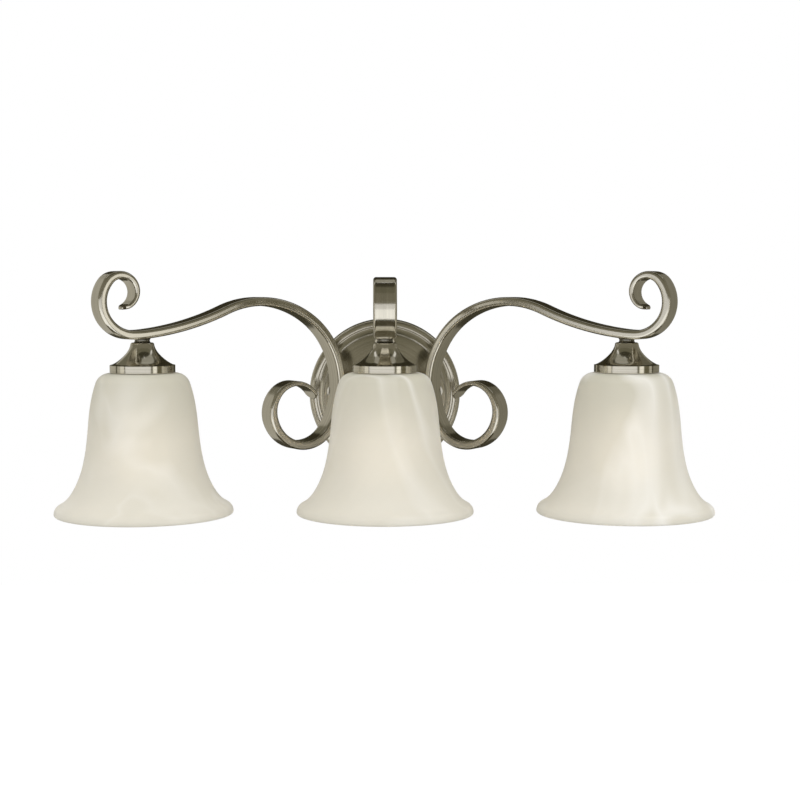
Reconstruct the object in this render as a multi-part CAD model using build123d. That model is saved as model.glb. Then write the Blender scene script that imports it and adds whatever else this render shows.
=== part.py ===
from build123d import *
import os
from math import atan2, cos, degrees, radians, sin, sqrt

# Three-light vanity bar: a round stepped canopy, three scrolled flat-bar arms and three bell shades.
# Frame: millimetres, +Z up, origin on the wall plane at the canopy's centre, the front faces -Y.

# ---- driving sizes: the layout ----
light_spacing = 222.8            # centre light to each outer light, along X
axis_from_wall = 142.0           # wall to every light's vertical axis
neck_height = 64.8               # arm centreline over each light, above the canopy's centre

# ---- flat bar of the arms ----
bar_width = 21.4
bar_thick = 8.5
bar_corner = 2.6                 # rounding of the bar's four edges
corner_share = 0.42              # most of a thin section that its rounding may take
tip_thick = 2.6                  # the scroll ends are drawn out to this
tip_taper = 1.3                  # how quickly the tail thins: power of the run left
nose_length = 5.5                # rounded tongue at each scroll end
nose_pinch = 0.93                # share of the half ellipse that the tongue's end follows
nose_thinning = 0.3              # share of the tip's thickness lost along the tongue
nose_stations = (0, 0.3, 0.55, 0.75, 0.9, 1.0)
tail_step = 15                   # degrees between a tail's sections

# side arm, from the neck inwards: radius and turn of its tangent arcs
side_heading = 5.8               # degrees above level at the neck
trough_radius, trough_turn = 280.0, 17.6
hump_radius, hump_turn = 93.7, -58.8
upright_radius, upright_turn = 79.3, -87.2
curl_radius, curl_turn = 34.8, -133.5
curl_tail_radius, curl_tail_turn = 28.7, -62.8
curl_tip_radius, curl_tip_turn = 24.8, -108.0

# side arm, from the neck outwards to the upper scroll
neck_radius, neck_turn = 94.0, -7.5
scroll_radius, scroll_turn = 30.0, -126.7
scroll_tail_radius, scroll_tail_turn = 15.3, -89.7
scroll_tip_radius, scroll_tip_turn = 15.0, -134.0

# centre arm: a smaller scroll in front, a short hump and a straight foot against the canopy
centre_scroll_scale = 0.9
centre_heading = 6.0
centre_rise_radius, centre_rise_turn = 52.0, 42.0
centre_hump_radius, centre_hump_turn = 36.4, -93.0
centre_back_radius = 75.0
centre_foot_end = -14.0          # height of the foot's rounded end
fit_rounds = 12                  # rounds that bring the side arm's scale to its boss

# ---- canopy ----
canopy_radius = 76.2
canopy_wall = 1.0
rim_depth = 9.0                  # wall to the top of the rounded rim
rim_round = 6.5
rim_flat = 0.5                   # between the rim's rounding and the first groove
cove_width = 7.9                 # first groove to the dome
dome_base_depth = 13.2
dome_depth = 27.0                # wall to the dome's crown
groove = 0.8                     # grooves that edge the cove

# ---- arm fixings ----
boss_radius = 6.0
boss_height = 4.0                # above the canopy's centre
boss_inset = 8.6                 # side boss in from the dome's edge
bar_stand_off = 6.9              # dome to the middle of the bar at a side boss
boss_set_out = 8.0               # side boss behind the bar's mid-plane, towards its back edge
boss_length = 8.5                # from the canopy towards the front, before it is coped to the bar
nipple_radius = 4.0
nipple_bore = 2.6
nipple_entry = 5.0               # nipple into the boss, in front of the canopy
nipple_tail = 2.0                # nipple beyond its nut
seat_washer_radius = 7.5
seat_washer_thin = 1.0           # thinnest edge of the bevelled washer
arm_nut_flat = 13.0
arm_nut_height = 4.0
fit_gap = 0.1                    # radial gap round a fixed stud, screw or nipple

# ---- crossbar and its screws ----
crossbar_half_length = 54.0
crossbar_width = 19.0
crossbar_thick = 1.6
crossbar_rise = 4.0              # raised middle above the wall
crossbar_corner = 4.0
raised_half = 28.5               # half of the raised middle
bend_run = 3.5
slot_centre = 39.7
slot_length = 14.0
slot_width = 4.5
entry_hole_radius = 4.9          # tapped centre hole
stud_offset = 24.0
stud_radius = 2.0
stud_head_radius = 3.4
stud_head_height = 2.4
stud_nut_flat = 7.0
stud_nut_height = 3.0
stud_reach = 5.0                 # stud beyond the canopy, inside the cap nut
cap_nut_radius = 5.2
cap_nut_height = 9.8
cap_nut_foot = 3.6
ground_offset = 12.0
ground_head_radius = 4.2
ground_head_height = 2.6
ground_shank = 3.4
ground_slot_width = 1.0

# ---- holder ----
neck_ring_radius = 7.6
neck_ring_height = 3.5
neck_ring_waist = 0.7
tube_radius = 4.9                # threaded tube from the arm to the socket
tube_bore = 3.4
tube_entry = 5.5                 # tube into the bar
holder_wall = 1.0
holder_top_radius = 10.8
holder_shoulder = 1.8
holder_height = 20.6             # neck ring to the top of the band
flare_share, flare_rise = 0.48, 0.27   # a station of the flare: shares of its spread and of its height
flare_start, flare_finish = -80, -17   # headings of the flare at its top and at its foot
flare_ledge = 0.5                # flat between the flare and the band
band_radius = 29.8
band_height = 7.0
holder_nut_flat = 15.0
holder_nut_height = 5.0
lock_washer_thick = 1.2
lock_washer_radius = 7.8

# ---- lamp socket ----
socket_flange_radius = 25.0
socket_flange = 2.4
socket_head = 5.4                # body above the flange
socket_head_radius = 16.5
socket_radius = 18.9             # threaded sleeve that carries the retaining ring
socket_length = 31.5             # flange underside to the mouth
socket_floor = 7.6
mouth_radius = 15.6
mouth_depth = 8.5
shell_radius = 13.75             # outside of the screw shell
shell_wall = 0.4
shell_length = 21.5
cap_height = 6.2                 # socket cap, above the body
cap_top_radius = 8.6
cap_hold = 4.0                   # tube inside the cap
cap_wall = 1.0
cap_shoulder = 1.0
contact_radius = 4.0
contact_height = 2.0
contact_rivet = 0.6
terminal_radius = 2.0
terminal_height = 2.0
terminal_offset = 9.5
seat_gap = 0.3                   # gap at a seat between pieces that part

# ---- retaining ring ----
ring_clearance = 0.3
ring_flange_radius = 27.0
ring_flange = 2.5
ring_height = 10.0
ring_wall = 3.2
ring_ribs = 18
rib_size = 1.0
rib_width = 1.6

# ---- bell shade ----
glass_wall = 3.5
glass_hole_clearance = 1.6       # between the sleeve and the hole in the glass
shoulder_radius = 43.5           # where the shoulder's rounding would turn upright
shoulder_round = 13.3
shoulder_turn = 71               # degrees of that rounding, before the side runs on
shade_drop = 130.7               # band's lower edge to the rim's underside
side_radius, side_share = 47.8, 0.18       # stations down the bell's side: radius, share of its drop
waist_radius, waist_share = 50.8, 0.42
skirt_radius, skirt_share = 55.0, 0.66
flare_radius, flare_drop = 63.2, 0.86
rim_radius = 82.0
rim_roll = 8.2                   # the rim's outside turns down to upright on this radius
rim_roll_turn = 64
inside_stations = (0.2, 0.4, 0.6, 0.8)

# ---- bulb ----
bulb_radius = 30.0
bulb_length = 106.0              # contact tip to crown
bulb_wall = 0.9
base_radius = 13.0
base_wall = 0.5
base_thread = 19.0
base_skirt = 4.0
base_skirt_radius = 14.2
base_skirt_bead = 0.8
base_bevel = 1.5                 # between the thread and the insulator
bulb_neck_gap = 0.1              # glass neck inside the base
bulb_neck_drop = 1.0             # straight neck below the base
bulb_lean = 38                   # degrees above level where the globe meets the neck's flare
insulator_height = 3.0
insulator_radius = 9.5
bulb_tip_radius = 4.6
bulb_tip_height = 1.4

# ---- radii and heights that follow from the sizes above ----
step_radius = canopy_radius - rim_round - rim_flat - groove
dome_radius = step_radius - cove_width
arm_underside = neck_height - bar_thick / 2
holder_top = arm_underside - neck_ring_height
band_top = holder_top - holder_height
band_bottom = band_top - band_height
flange_top = band_bottom + socket_flange
socket_top = flange_top + socket_head
socket_mouth = band_bottom - socket_length
socket_ceiling = socket_top - socket_floor
glass_top = band_bottom - seat_gap
ring_top = glass_top - glass_wall - seat_gap
rim_height = band_bottom - shade_drop
bulb_top = socket_ceiling - contact_height - seat_gap / 2
base_top = bulb_top - bulb_tip_height - insulator_height
base_bottom = base_top - base_thread - base_skirt
bulb_crown = bulb_top - bulb_length
bulb_neck_radius = base_radius - base_wall - bulb_neck_gap


# ---------------------------------------------------------------- shared forms
def turned(*edges):
    """A solid turned about Z from edges drawn as (radius, height)."""
    return revolve(Plane.XZ * make_face(edges), Axis.Z)


def disc(radius, bottom, top):
    """A solid cylinder about Z between two heights."""
    return Pos(0, 0, (top + bottom) / 2) * Cylinder(radius, top - bottom)


def tube(outer, inner, bottom, top):
    """A plain tube about Z between two heights."""
    return disc(outer, bottom, top) - disc(inner, bottom - 1, top + 1)


def round_arc(centre, radius, start, end):
    """An arc about a centre (radius, height) between two angles in degrees from level."""
    def at(angle):
        return centre[0] + radius * cos(radians(angle)), centre[1] + radius * sin(radians(angle))

    return ThreePointArc(at(start), at((start + end) / 2), at(end))


def cap_arc(radius, low, rise):
    """The arc of a round cap that stands on a flat: from its edge to its top on the axis."""
    ball = (radius ** 2 + rise ** 2) / (2 * rise)
    return round_arc((0, low + rise - ball), ball, degrees(atan2(ball - rise, radius)), 90)


def largest(shape):
    """The largest solid that a cut has left."""
    return max(shape.solids(), key=lambda solid: solid.volume)


def rod(radius, x, z, front, back):
    """A round rod along Y between two depths from the wall, at (x, z)."""
    return Pos(x, -(front + back) / 2, z) * Rot(90, 0, 0) * Cylinder(radius, front - back)


def hex_nut(flat, height, bore):
    """A hexagonal nut standing on Z = 0 with its outer corners chamfered."""
    corner = flat / sqrt(3)
    bevel = corner - flat / 2
    trim = turned(Polyline((0, 0), (corner, 0), (corner, height - bevel), (flat / 2, height), (0, height),
                           close=True))
    nut = extrude(RegularPolygon(flat / 2, 6, major_radius=False), height) & trim
    return nut - Cylinder(bore, 3 * height)


def nut_towards_wall(flat, height, bore, x, z, depth):
    """A nut along Y whose underside is at a depth from the wall and whose top faces the wall."""
    return Pos(x, -depth, z) * Rot(-90, 0, 0) * hex_nut(flat, height, bore)


# ---------------------------------------------------------------- arms
def direction(degrees):
    """Unit vector in the arm's plane at an angle from the way to the wall."""
    return Vector(cos(radians(degrees)), sin(radians(degrees)))


def arc_chain(start, tangent, arcs):
    """Tangent arcs from a start point; each arc is (radius, turn in degrees)."""
    edges = []
    for radius, turn in arcs:
        edge = JernArc(start=start, tangent=tangent, radius=radius, arc_size=turn)
        edges.append(edge)
        start, tangent = edge @ 1, edge % 1
    return edges


def bar_section(point, tangent, width, thick):
    """The bar's rounded section, square to the path at a point."""
    corner = min(bar_corner, corner_share * thick, corner_share * width)
    plane = Plane(origin=point, x_dir=(0, 0, 1), z_dir=tangent)
    return plane * RectangleRounded(width, thick, corner)


def bar_run(edges):
    """The bar at full section along a chain of edges."""
    first = edges[0]
    return sweep(bar_section(first @ 0, first % 0, bar_width, bar_thick), path=Wire(edges))


def tail_sizes(run, length):
    """Width and thickness of a scroll tail after a run of it."""
    left = 1 - run / length
    thick = tip_thick + (bar_thick - tip_thick) * left ** tip_taper
    into_nose = max(0.0, run - (length - nose_length)) / nose_length
    width = bar_width * sqrt(1 - (nose_pinch * into_nose) ** 2)
    return width, thick * (1 - nose_thinning * into_nose ** 3)


def bar_tail(edges):
    """The drawn-out end of a scroll: it thins along its run and ends in a rounded tongue."""
    length = sum(edge.length for edge in edges)
    stations = []
    passed = 0.0
    for edge in edges:
        count = max(2, round(edge.length / edge.radius / radians(tail_step)))
        stations += [(edge, k / count, passed + edge.length * k / count) for k in range(count)]
        passed += edge.length
    stations = [station for station in stations if station[2] < length - nose_length - 1]
    last = edges[-1]
    for part in nose_stations:
        run = length - nose_length * (1 - part)
        stations.append((last, 1 - (length - run) / last.length, run))
    return loft([bar_section(edge @ at, edge % at, *tail_sizes(run, length)) for edge, at, run in stations])


def foot_tail(top, end_height):
    """A straight foot of full thickness, going down to a rounded end."""
    foot = Line(top, (top.X, end_height + nose_length))
    nose = [bar_section((top.X, end_height + nose_length * (1 - part)), (0, -1, 0),
                        bar_width * sqrt(1 - (nose_pinch * part) ** 2), bar_thick) for part in nose_stations]
    return bar_run([foot]) + loft(nose)


def scaled(arcs, scale):
    """Arcs of (radius, turn) with their radii scaled."""
    return [(radius * scale, turn) for radius, turn in arcs]


def inward_chain(scale):
    """A side arm's centreline from the neck down to the lower curl, with its radii scaled."""
    arcs = [(trough_radius, trough_turn), (hump_radius, hump_turn), (upright_radius, upright_turn),
            (curl_radius, curl_turn)]
    return arc_chain(Vector(0, neck_height), direction(side_heading), scaled(arcs, scale))


def scroll_chains(heading, scale):
    """An upper scroll's centreline from the neck: the full bar, then its drawn-out tail."""
    bar_arcs = [(neck_radius, neck_turn), (scroll_radius, scroll_turn)]
    tail_arcs = [(scroll_tail_radius, scroll_tail_turn), (scroll_tip_radius, scroll_tip_turn)]
    outward = arc_chain(Vector(0, neck_height), direction(180 + heading), scaled(bar_arcs, scale))
    return outward, arc_chain(outward[-1] @ 1, outward[-1] % 1, scaled(tail_arcs, scale))


def upright_reach(scale):
    """How far along its plane a side arm's centreline stands at the boss's height."""
    upright = inward_chain(scale)[2]
    rise = boss_height - upright.arc_center.Y
    return upright.arc_center.X + sqrt(upright.radius ** 2 - rise ** 2)


def arm_reach():
    """A light's axis to the side boss along the arm's plane, and that plane's angle to the wall."""
    across = light_spacing - (dome_radius - boss_inset)
    out = axis_from_wall - dome_at(dome_radius - boss_inset) - bar_stand_off
    reach = sqrt(across ** 2 + out ** 2 - boss_set_out ** 2)
    return reach, degrees(atan2(out, across) - atan2(boss_set_out, reach))


def arm_scale():
    """Scale of a side arm's arcs at which its upright meets the boss."""
    reach = arm_reach()[0]
    scale = 1.0
    for _ in range(fit_rounds):
        scale *= reach / upright_reach(scale)
    return scale


def side_arm():
    """A side arm's bar in its own plane: x towards the wall, y up, z to the front."""
    scale = arm_scale()
    inward = inward_chain(scale)
    outward, upper_tail = scroll_chains(side_heading, scale)
    tail_arcs = [(curl_tail_radius, curl_tail_turn), (curl_tip_radius, curl_tip_turn)]
    lower_tail = arc_chain(inward[-1] @ 1, inward[-1] % 1, scaled(tail_arcs, scale))
    return bar_run(inward) + bar_run(outward) + bar_tail(lower_tail) + bar_tail(upper_tail)


def centre_arm():
    """The centre arm's bar in its own plane: a smaller scroll, a short hump and a straight foot."""
    heading = centre_heading + centre_rise_turn + centre_hump_turn
    arcs = [(centre_rise_radius, centre_rise_turn), (centre_hump_radius, centre_hump_turn),
            (centre_back_radius, -90 - heading)]
    inward = arc_chain(Vector(0, neck_height), direction(centre_heading), arcs)
    outward, tail = scroll_chains(centre_heading, centre_scroll_scale)
    foot = foot_tail(inward[-1] @ 1, centre_foot_end)
    return bar_run(inward) + foot + bar_run(outward) + bar_tail(tail)


def side_plane():
    """The left arm's plane: local x towards the wall, local y up, local z to the front."""
    turn = radians(arm_reach()[1])
    return Plane(origin=(-light_spacing, -axis_from_wall, 0), x_dir=(cos(turn), sin(turn), 0),
                 z_dir=(sin(turn), -cos(turn), 0))


def centre_plane():
    """The centre arm's plane: local x towards the wall, local y up."""
    return Plane(origin=(0, -axis_from_wall, 0), x_dir=(0, 1, 0), z_dir=(1, 0, 0))


# ---------------------------------------------------------------- canopy
def dome_sphere(inset):
    """Radius of the dome's sphere and the depth of its centre behind the wall plane."""
    edge = dome_radius - inset
    rise = dome_depth - dome_base_depth
    radius = (edge ** 2 + rise ** 2) / (2 * rise)
    return radius, radius - (dome_depth - inset)


def dome_at(offset, inset=0.0):
    """Depth of the dome from the wall at a distance from the canopy's centre."""
    radius, centre = dome_sphere(inset)
    return sqrt(radius ** 2 - offset ** 2) - centre


def canopy_form(inset):
    """The canopy's filled form, drawn in as (radius, -depth) and turned about Y."""
    def at(radius, depth):
        return (radius - inset, inset - depth)

    rim_low = at(canopy_radius, rim_depth - rim_round)
    rim_high = at(canopy_radius - rim_round, rim_depth)
    bow = rim_round * (1 - sqrt(0.5))
    edge = dome_radius - inset
    outline = [
        Polyline((0, inset - dome_depth), (0, 0), (canopy_radius - inset, 0), rim_low),
        ThreePointArc(rim_low, at(canopy_radius - bow, rim_depth - bow), rim_high),
        Polyline(rim_high, at(step_radius + groove, rim_depth), at(step_radius, rim_depth - groove),
                 at(step_radius - groove, rim_depth)),
        SagittaArc(at(step_radius - groove, rim_depth), at(dome_radius + groove, dome_base_depth), groove),
        Polyline(at(dome_radius + groove, dome_base_depth), at(dome_radius, dome_base_depth - groove),
                 (edge, inset - dome_base_depth)),
        ThreePointArc((edge, inset - dome_base_depth), (edge / 2, -dome_at(edge / 2, inset)),
                      (0, inset - dome_depth)),
    ]
    return revolve(make_face(outline), Axis.Y)


def canopy():
    """The spun shell with its holes for the arm nipples and the mounting studs."""
    shell = canopy_form(0) - canopy_form(canopy_wall)
    for x, z in boss_places():
        shell -= rod(nipple_radius + fit_gap, x, z, dome_depth + 1, 0)
    for x in (-stud_offset, stud_offset):
        shell -= rod(stud_radius + 2 * fit_gap, x, 0, dome_depth + 1, 0)
    return shell


def boss_places():
    """Where the left, centre and right arms are bolted to the canopy, as (x, z)."""
    offset = dome_radius - boss_inset
    return [(-offset, boss_height), (0, boss_height), (offset, boss_height)]


def nipple_hole(x, z):
    """The drilling for an arm nipple, from inside the canopy to the nipple's front end."""
    return rod(nipple_radius + fit_gap, x, z, dome_at(abs(x)) + nipple_entry + fit_gap, 0)


def arm_boss(x, z, bar):
    """A short boss between the canopy and an arm, coped to the bar and to the dome."""
    blank = rod(boss_radius, x, z, dome_at(abs(x)) + boss_length, dome_base_depth / 2)
    boss = blank - canopy_form(0) - bar - nipple_hole(x, z)
    return largest(boss)


def seat_depth(x):
    """Depth of the flat that an arm nut is tightened on."""
    return dome_at(abs(x) + seat_washer_radius, canopy_wall) - seat_washer_thin


def seat_washer(x, z):
    """A bevelled washer: flat towards the wall, shaped to the dome's inside in front."""
    blank = rod(seat_washer_radius, x, z, dome_depth, seat_depth(x))
    return (blank & canopy_form(canopy_wall)) - rod(nipple_radius + fit_gap, x, z, dome_depth + 1, 0)


def arm_nut(x, z):
    """The nut that draws an arm's nipple tight inside the canopy."""
    return nut_towards_wall(arm_nut_flat, arm_nut_height, nipple_radius + fit_gap, x, z, seat_depth(x))


def arm_nipple(x, z):
    """The hollow threaded nipple that holds an arm and lets its leads into the canopy."""
    front = dome_at(abs(x)) + nipple_entry
    back = seat_depth(x) - arm_nut_height - nipple_tail
    return rod(nipple_radius, x, z, front, back) - rod(nipple_bore, x, z, front + 1, back - 1)


# ---------------------------------------------------------------- crossbar
def crossbar():
    """The offset mounting strap, with slots for the box screws and tapped holes."""
    low, high = -crossbar_rise, -crossbar_rise - crossbar_thick
    slope_end = raised_half + bend_run
    end = crossbar_half_length
    front = [(0, high), (raised_half, high), (slope_end, -crossbar_thick), (end, -crossbar_thick)]
    back = [(end, 0), (slope_end, 0), (raised_half, low), (0, low)]
    profile = make_face(Polyline(*front, *back, close=True))
    strap = extrude(profile + mirror(profile, about=Plane.YZ), crossbar_width / 2, both=True)
    ends = [edge for edge in strap.edges().filter_by(Axis.Y) if abs(edge.center().X) > slope_end]
    strap = fillet(ends, crossbar_corner)
    slot = Rot(90, 0, 0) * extrude(SlotOverall(slot_length, slot_width), 4 * crossbar_rise, both=True)
    strap -= [Pos(side * slot_centre, 0, 0) * slot for side in (-1, 1)]
    strap -= [rod(stud_radius + fit_gap, side * stud_offset, 0, dome_depth, 0) for side in (-1, 1)]
    strap -= rod(stud_radius + fit_gap, ground_offset, 0, dome_depth, 0)
    return strap - rod(entry_hole_radius, 0, 0, dome_depth, 0)


def crossbar_stud(x):
    """A headed stud from behind the crossbar, out through the canopy."""
    shank = rod(stud_radius, x, 0, dome_at(abs(x)) + stud_reach, crossbar_rise)
    return shank + rod(stud_head_radius, x, 0, crossbar_rise, crossbar_rise - stud_head_height)


def stud_lock_nut(x):
    """The nut that locks a stud to the crossbar."""
    nut = hex_nut(stud_nut_flat, stud_nut_height, stud_radius + fit_gap)
    return Pos(x, -crossbar_rise - crossbar_thick, 0) * Rot(90, 0, 0) * nut


def cap_nut(x):
    """A ball-shaped blind nut that draws the canopy to the wall, seated on the dome."""
    depth = dome_at(abs(x))
    ball = cap_nut_radius
    foot = (cap_nut_foot, -sqrt(ball ** 2 - cap_nut_foot ** 2))
    profile = [Polyline((0, ball), (0, -ball), (cap_nut_foot, -ball), foot),
               ThreePointArc(foot, (ball, 0), (0, ball))]
    nut = Pos(x, ball - cap_nut_height - depth, 0) * Rot(90, 0, 0) * turned(*profile)
    return nut - canopy_form(0) - rod(stud_radius + fit_gap, x, 0, depth + stud_reach + fit_gap, 0)


def ground_screw():
    """The grounding screw in the crossbar's raised middle."""
    face = crossbar_rise + crossbar_thick
    head = rod(ground_head_radius, ground_offset, 0, face + ground_head_height, face)
    top = Pos(ground_offset, -face - ground_head_height, 0)
    slot = top * Box(3 * ground_head_radius, ground_head_height, ground_slot_width)
    return head - slot + rod(stud_radius, ground_offset, 0, face, face - ground_shank)


# ---------------------------------------------------------------- holder and lamp socket
def neck_ring_blank():
    """The waisted spacer between an arm and its holder, before it is coped to the bar."""
    top = arm_underside + bar_thick / 4
    edge, bore = neck_ring_radius, tube_radius + fit_gap
    waist = (edge - neck_ring_waist, (holder_top + arm_underside) / 2)
    return turned(Polyline((edge, arm_underside), (edge, top), (bore, top), (bore, holder_top),
                           (edge, holder_top)),
                  ThreePointArc((edge, holder_top), waist, (edge, arm_underside)))


def holder_form(inset):
    """The holder's filled form: a rounded top, a trumpet flare and a plain band."""
    top = holder_top - inset
    turn_centre = (holder_top_radius - inset - holder_shoulder, top - holder_shoulder)
    round_low = (holder_top_radius - inset, top - holder_shoulder)
    flare_end = (band_radius - inset - flare_ledge, band_top - inset)
    spread = band_radius - holder_top_radius
    station = (holder_top_radius + flare_share * spread - inset * sqrt(0.5),
               band_top + flare_rise * holder_height - inset * sqrt(0.5))
    bottom = band_bottom - (1 if inset else 0)
    return turned(Polyline((0, bottom), (0, top), (turn_centre[0], top)),
                  round_arc(turn_centre, holder_shoulder, 90, 0),
                  Spline(round_low, station, flare_end,
                         tangents=(direction(flare_start), direction(flare_finish))),
                  Polyline(flare_end, (band_radius - inset, band_top - inset), (band_radius - inset, bottom),
                           (0, bottom)))


def holder():
    """The spun holder: a thin shell, open below, with a hole for the tube."""
    return holder_form(0) - holder_form(holder_wall) - disc(tube_radius + fit_gap, band_top, holder_top + 1)


def holder_tube():
    """The threaded tube that hangs the holder and the socket from the arm."""
    return tube(tube_radius, tube_bore, socket_top + cap_height - cap_hold, arm_underside + tube_entry)


def tube_hole():
    """The blind drilling in an arm for the holder's tube."""
    return disc(tube_radius + fit_gap, holder_top, arm_underside + tube_entry + fit_gap)


def lock_washer():
    """The washer under the holder's nut."""
    top = holder_top - holder_wall
    return tube(lock_washer_radius, tube_radius + fit_gap, top - lock_washer_thick, top)


def holder_nut():
    """The nut inside the holder's top."""
    under = holder_top - holder_wall - lock_washer_thick
    nut = hex_nut(holder_nut_flat, holder_nut_height, tube_radius + fit_gap)
    return Pos(0, 0, under) * Rot(180, 0, 0) * nut


def socket_cap():
    """The socket's conical metal cap with its threaded eye."""
    top = socket_top + cap_height
    hub_bottom = top - cap_hold
    under = top - cap_wall - cap_shoulder
    edge, hub = socket_head_radius, tube_radius + 2 * cap_wall
    outline = Polyline((0, socket_top), (edge, socket_top), (edge, socket_top + cap_wall),
                       (cap_top_radius, top - cap_shoulder), (cap_top_radius, top), (0, top), close=True)
    inner = Polyline((0, socket_top - 1), (edge - cap_wall, socket_top - 1),
                     (edge - cap_wall, socket_top + cap_wall / 2), (cap_top_radius - cap_wall / 2, under),
                     (hub, under), (hub, hub_bottom), (0, hub_bottom), close=True)
    return turned(outline) - turned(inner) - disc(tube_radius + fit_gap, socket_top, top + 1)


def socket_body():
    """The moulded socket: a flange, a sleeve for the ring and a stepped bore for the bulb."""
    body = disc(socket_flange_radius, band_bottom, flange_top)
    body += disc(socket_head_radius, flange_top, socket_top)
    body += disc(socket_radius, socket_mouth, band_bottom)
    body -= disc(shell_radius + fit_gap / 2, socket_mouth - 1, socket_ceiling)
    return body - disc(mouth_radius, socket_mouth - 1, socket_mouth + mouth_depth)


def screw_shell():
    """The threaded brass shell that the bulb's base screws into."""
    top = socket_ceiling - seat_gap
    return tube(shell_radius, shell_radius - shell_wall, top - shell_length, top)


def centre_contact():
    """The sprung contact at the top of the socket's bore, held by a rivet."""
    return tube(contact_radius, contact_rivet, socket_ceiling - contact_height, socket_ceiling)


def terminal_screws():
    """The two slotted terminal screws on the socket body, inside the cap."""
    top = socket_top + terminal_height
    head = disc(terminal_radius, socket_top, top)
    head -= Pos(0, 0, top) * Box(3 * terminal_radius, terminal_radius / 3, terminal_height)
    return [Pos(side * terminal_offset, 0, 0) * head for side in (-1, 1)]


def retaining_ring():
    """The ribbed ring, threaded inside, that holds the shade up against the holder."""
    inner = socket_radius + ring_clearance
    outer = inner + ring_wall
    ring = tube(outer, inner, ring_top - ring_height, ring_top)
    ring += tube(ring_flange_radius, inner, ring_top - ring_flange, ring_top)
    rib_height = ring_height - ring_flange
    rib = Pos(outer, 0, ring_top - ring_flange - rib_height / 2) * Box(2 * rib_size, rib_width, rib_height)
    return ring + [Rot(0, 0, turn * 360 / ring_ribs) * rib for turn in range(ring_ribs)]


# ---------------------------------------------------------------- shade and bulb
def bell_side():
    """The outside of the bell's side, from the shoulder to where the rim starts to roll down."""
    start_angle, end_angle = radians(90 - shoulder_turn), radians(rim_roll_turn)
    start = (shoulder_radius - shoulder_round * (1 - cos(start_angle)),
             glass_top - shoulder_round * (1 - sin(start_angle)))
    end = (rim_radius - rim_roll * (1 - cos(end_angle)),
           rim_height + glass_wall / 2 + rim_roll * sin(end_angle))
    drop = start[1] - end[1]
    stations = [(side_radius, side_share), (waist_radius, waist_share), (skirt_radius, skirt_share),
                (flare_radius, flare_drop)]
    return Spline(start, *[(radius, start[1] - share * drop) for radius, share in stations], end,
                  tangents=(direction(-shoulder_turn), direction(rim_roll_turn - 90)))


def glass_inside(side, share):
    """The point one wall inside the bell's side, at a share of its run."""
    tangent = side % share
    return side @ share + Vector(tangent.Y, -tangent.X) * glass_wall


def shade():
    """The glass bell: a flat collar with a hole, a round shoulder and a rim that rolls down."""
    hole = socket_radius + glass_hole_clearance
    side = bell_side()
    shoulder = (shoulder_radius - shoulder_round, glass_top - shoulder_round)
    roll = (rim_radius - rim_roll, rim_height + glass_wall / 2)
    lip = (rim_radius - glass_wall / 2, rim_height + glass_wall / 2)
    inside = [glass_inside(side, share) for share in (1, *reversed(inside_stations), 0)]
    outline = [
        Polyline((shoulder[0], glass_top - glass_wall), (hole, glass_top - glass_wall), (hole, glass_top),
                 (shoulder[0], glass_top)),
        round_arc(shoulder, shoulder_round, 90, 90 - shoulder_turn),
        side,
        round_arc(roll, rim_roll, rim_roll_turn, 0),
        round_arc(lip, glass_wall / 2, 0, -180),
        round_arc(roll, rim_roll - glass_wall, 0, rim_roll_turn),
        Spline(*inside, tangents=(-(side % 1), -(side % 0))),
        round_arc(shoulder, shoulder_round - glass_wall, 90 - shoulder_turn, 90),
    ]
    return turned(*outline)


def bulb_outline(inset):
    """The bulb's outline from the neck down to the crown, as edges of (radius, height)."""
    neck = bulb_neck_radius - inset
    centre = (0, bulb_crown + bulb_radius)
    globe = round_arc(centre, bulb_radius - inset, bulb_lean, -90)
    return [
        Line((neck, base_bottom + base_skirt), (neck, base_bottom - bulb_neck_drop)),
        Spline((neck, base_bottom - bulb_neck_drop), globe @ 0, tangents=((0, -1), globe % 0)),
        globe,
    ]


def bulb_glass():
    """The hollow glass envelope, open at its neck inside the base."""
    top = base_bottom + base_skirt
    outer, inner = [turned(*bulb_outline(inset),
                           Polyline((0, bulb_crown + inset), (0, top), (bulb_neck_radius - inset, top)))
                    for inset in (0, bulb_wall)]
    return outer - inner


def bulb_base():
    """The bulb's metal base: a shell for the thread above a plain skirt."""
    wall, bead, bevel = base_wall, base_skirt_bead, base_bevel
    bottom, middle, top = base_bottom, base_bottom + base_skirt, base_top
    skirt = [(base_radius, bottom), (base_skirt_radius - bead / 2, bottom),
             (base_skirt_radius, bottom + bead), (base_skirt_radius, middle - bead)]
    thread = [(base_radius, middle), (base_radius, top - bevel), (base_radius - bevel, top),
              (insulator_radius, top)]
    inside = [(insulator_radius, top - wall), (base_radius - bevel - wall / 2, top - wall),
              (base_radius - wall, top - bevel - wall / 2), (base_radius - wall, bottom)]
    return turned(Polyline(*skirt, *thread, *inside, close=True))


def bulb_insulator():
    """The glass cone between the base and the tip contact."""
    top = base_top + insulator_height
    cone = [(0, base_top), (insulator_radius, base_top), (bulb_tip_radius, top), (0, top)]
    return turned(Polyline(*cone, close=True))


def bulb_tip():
    """The bulb's tip contact."""
    low = base_top + insulator_height
    return turned(Line((0, low), (bulb_tip_radius, low)), cap_arc(bulb_tip_radius, low, bulb_tip_height),
                  Line((0, low + bulb_tip_height), (0, low)))


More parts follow.
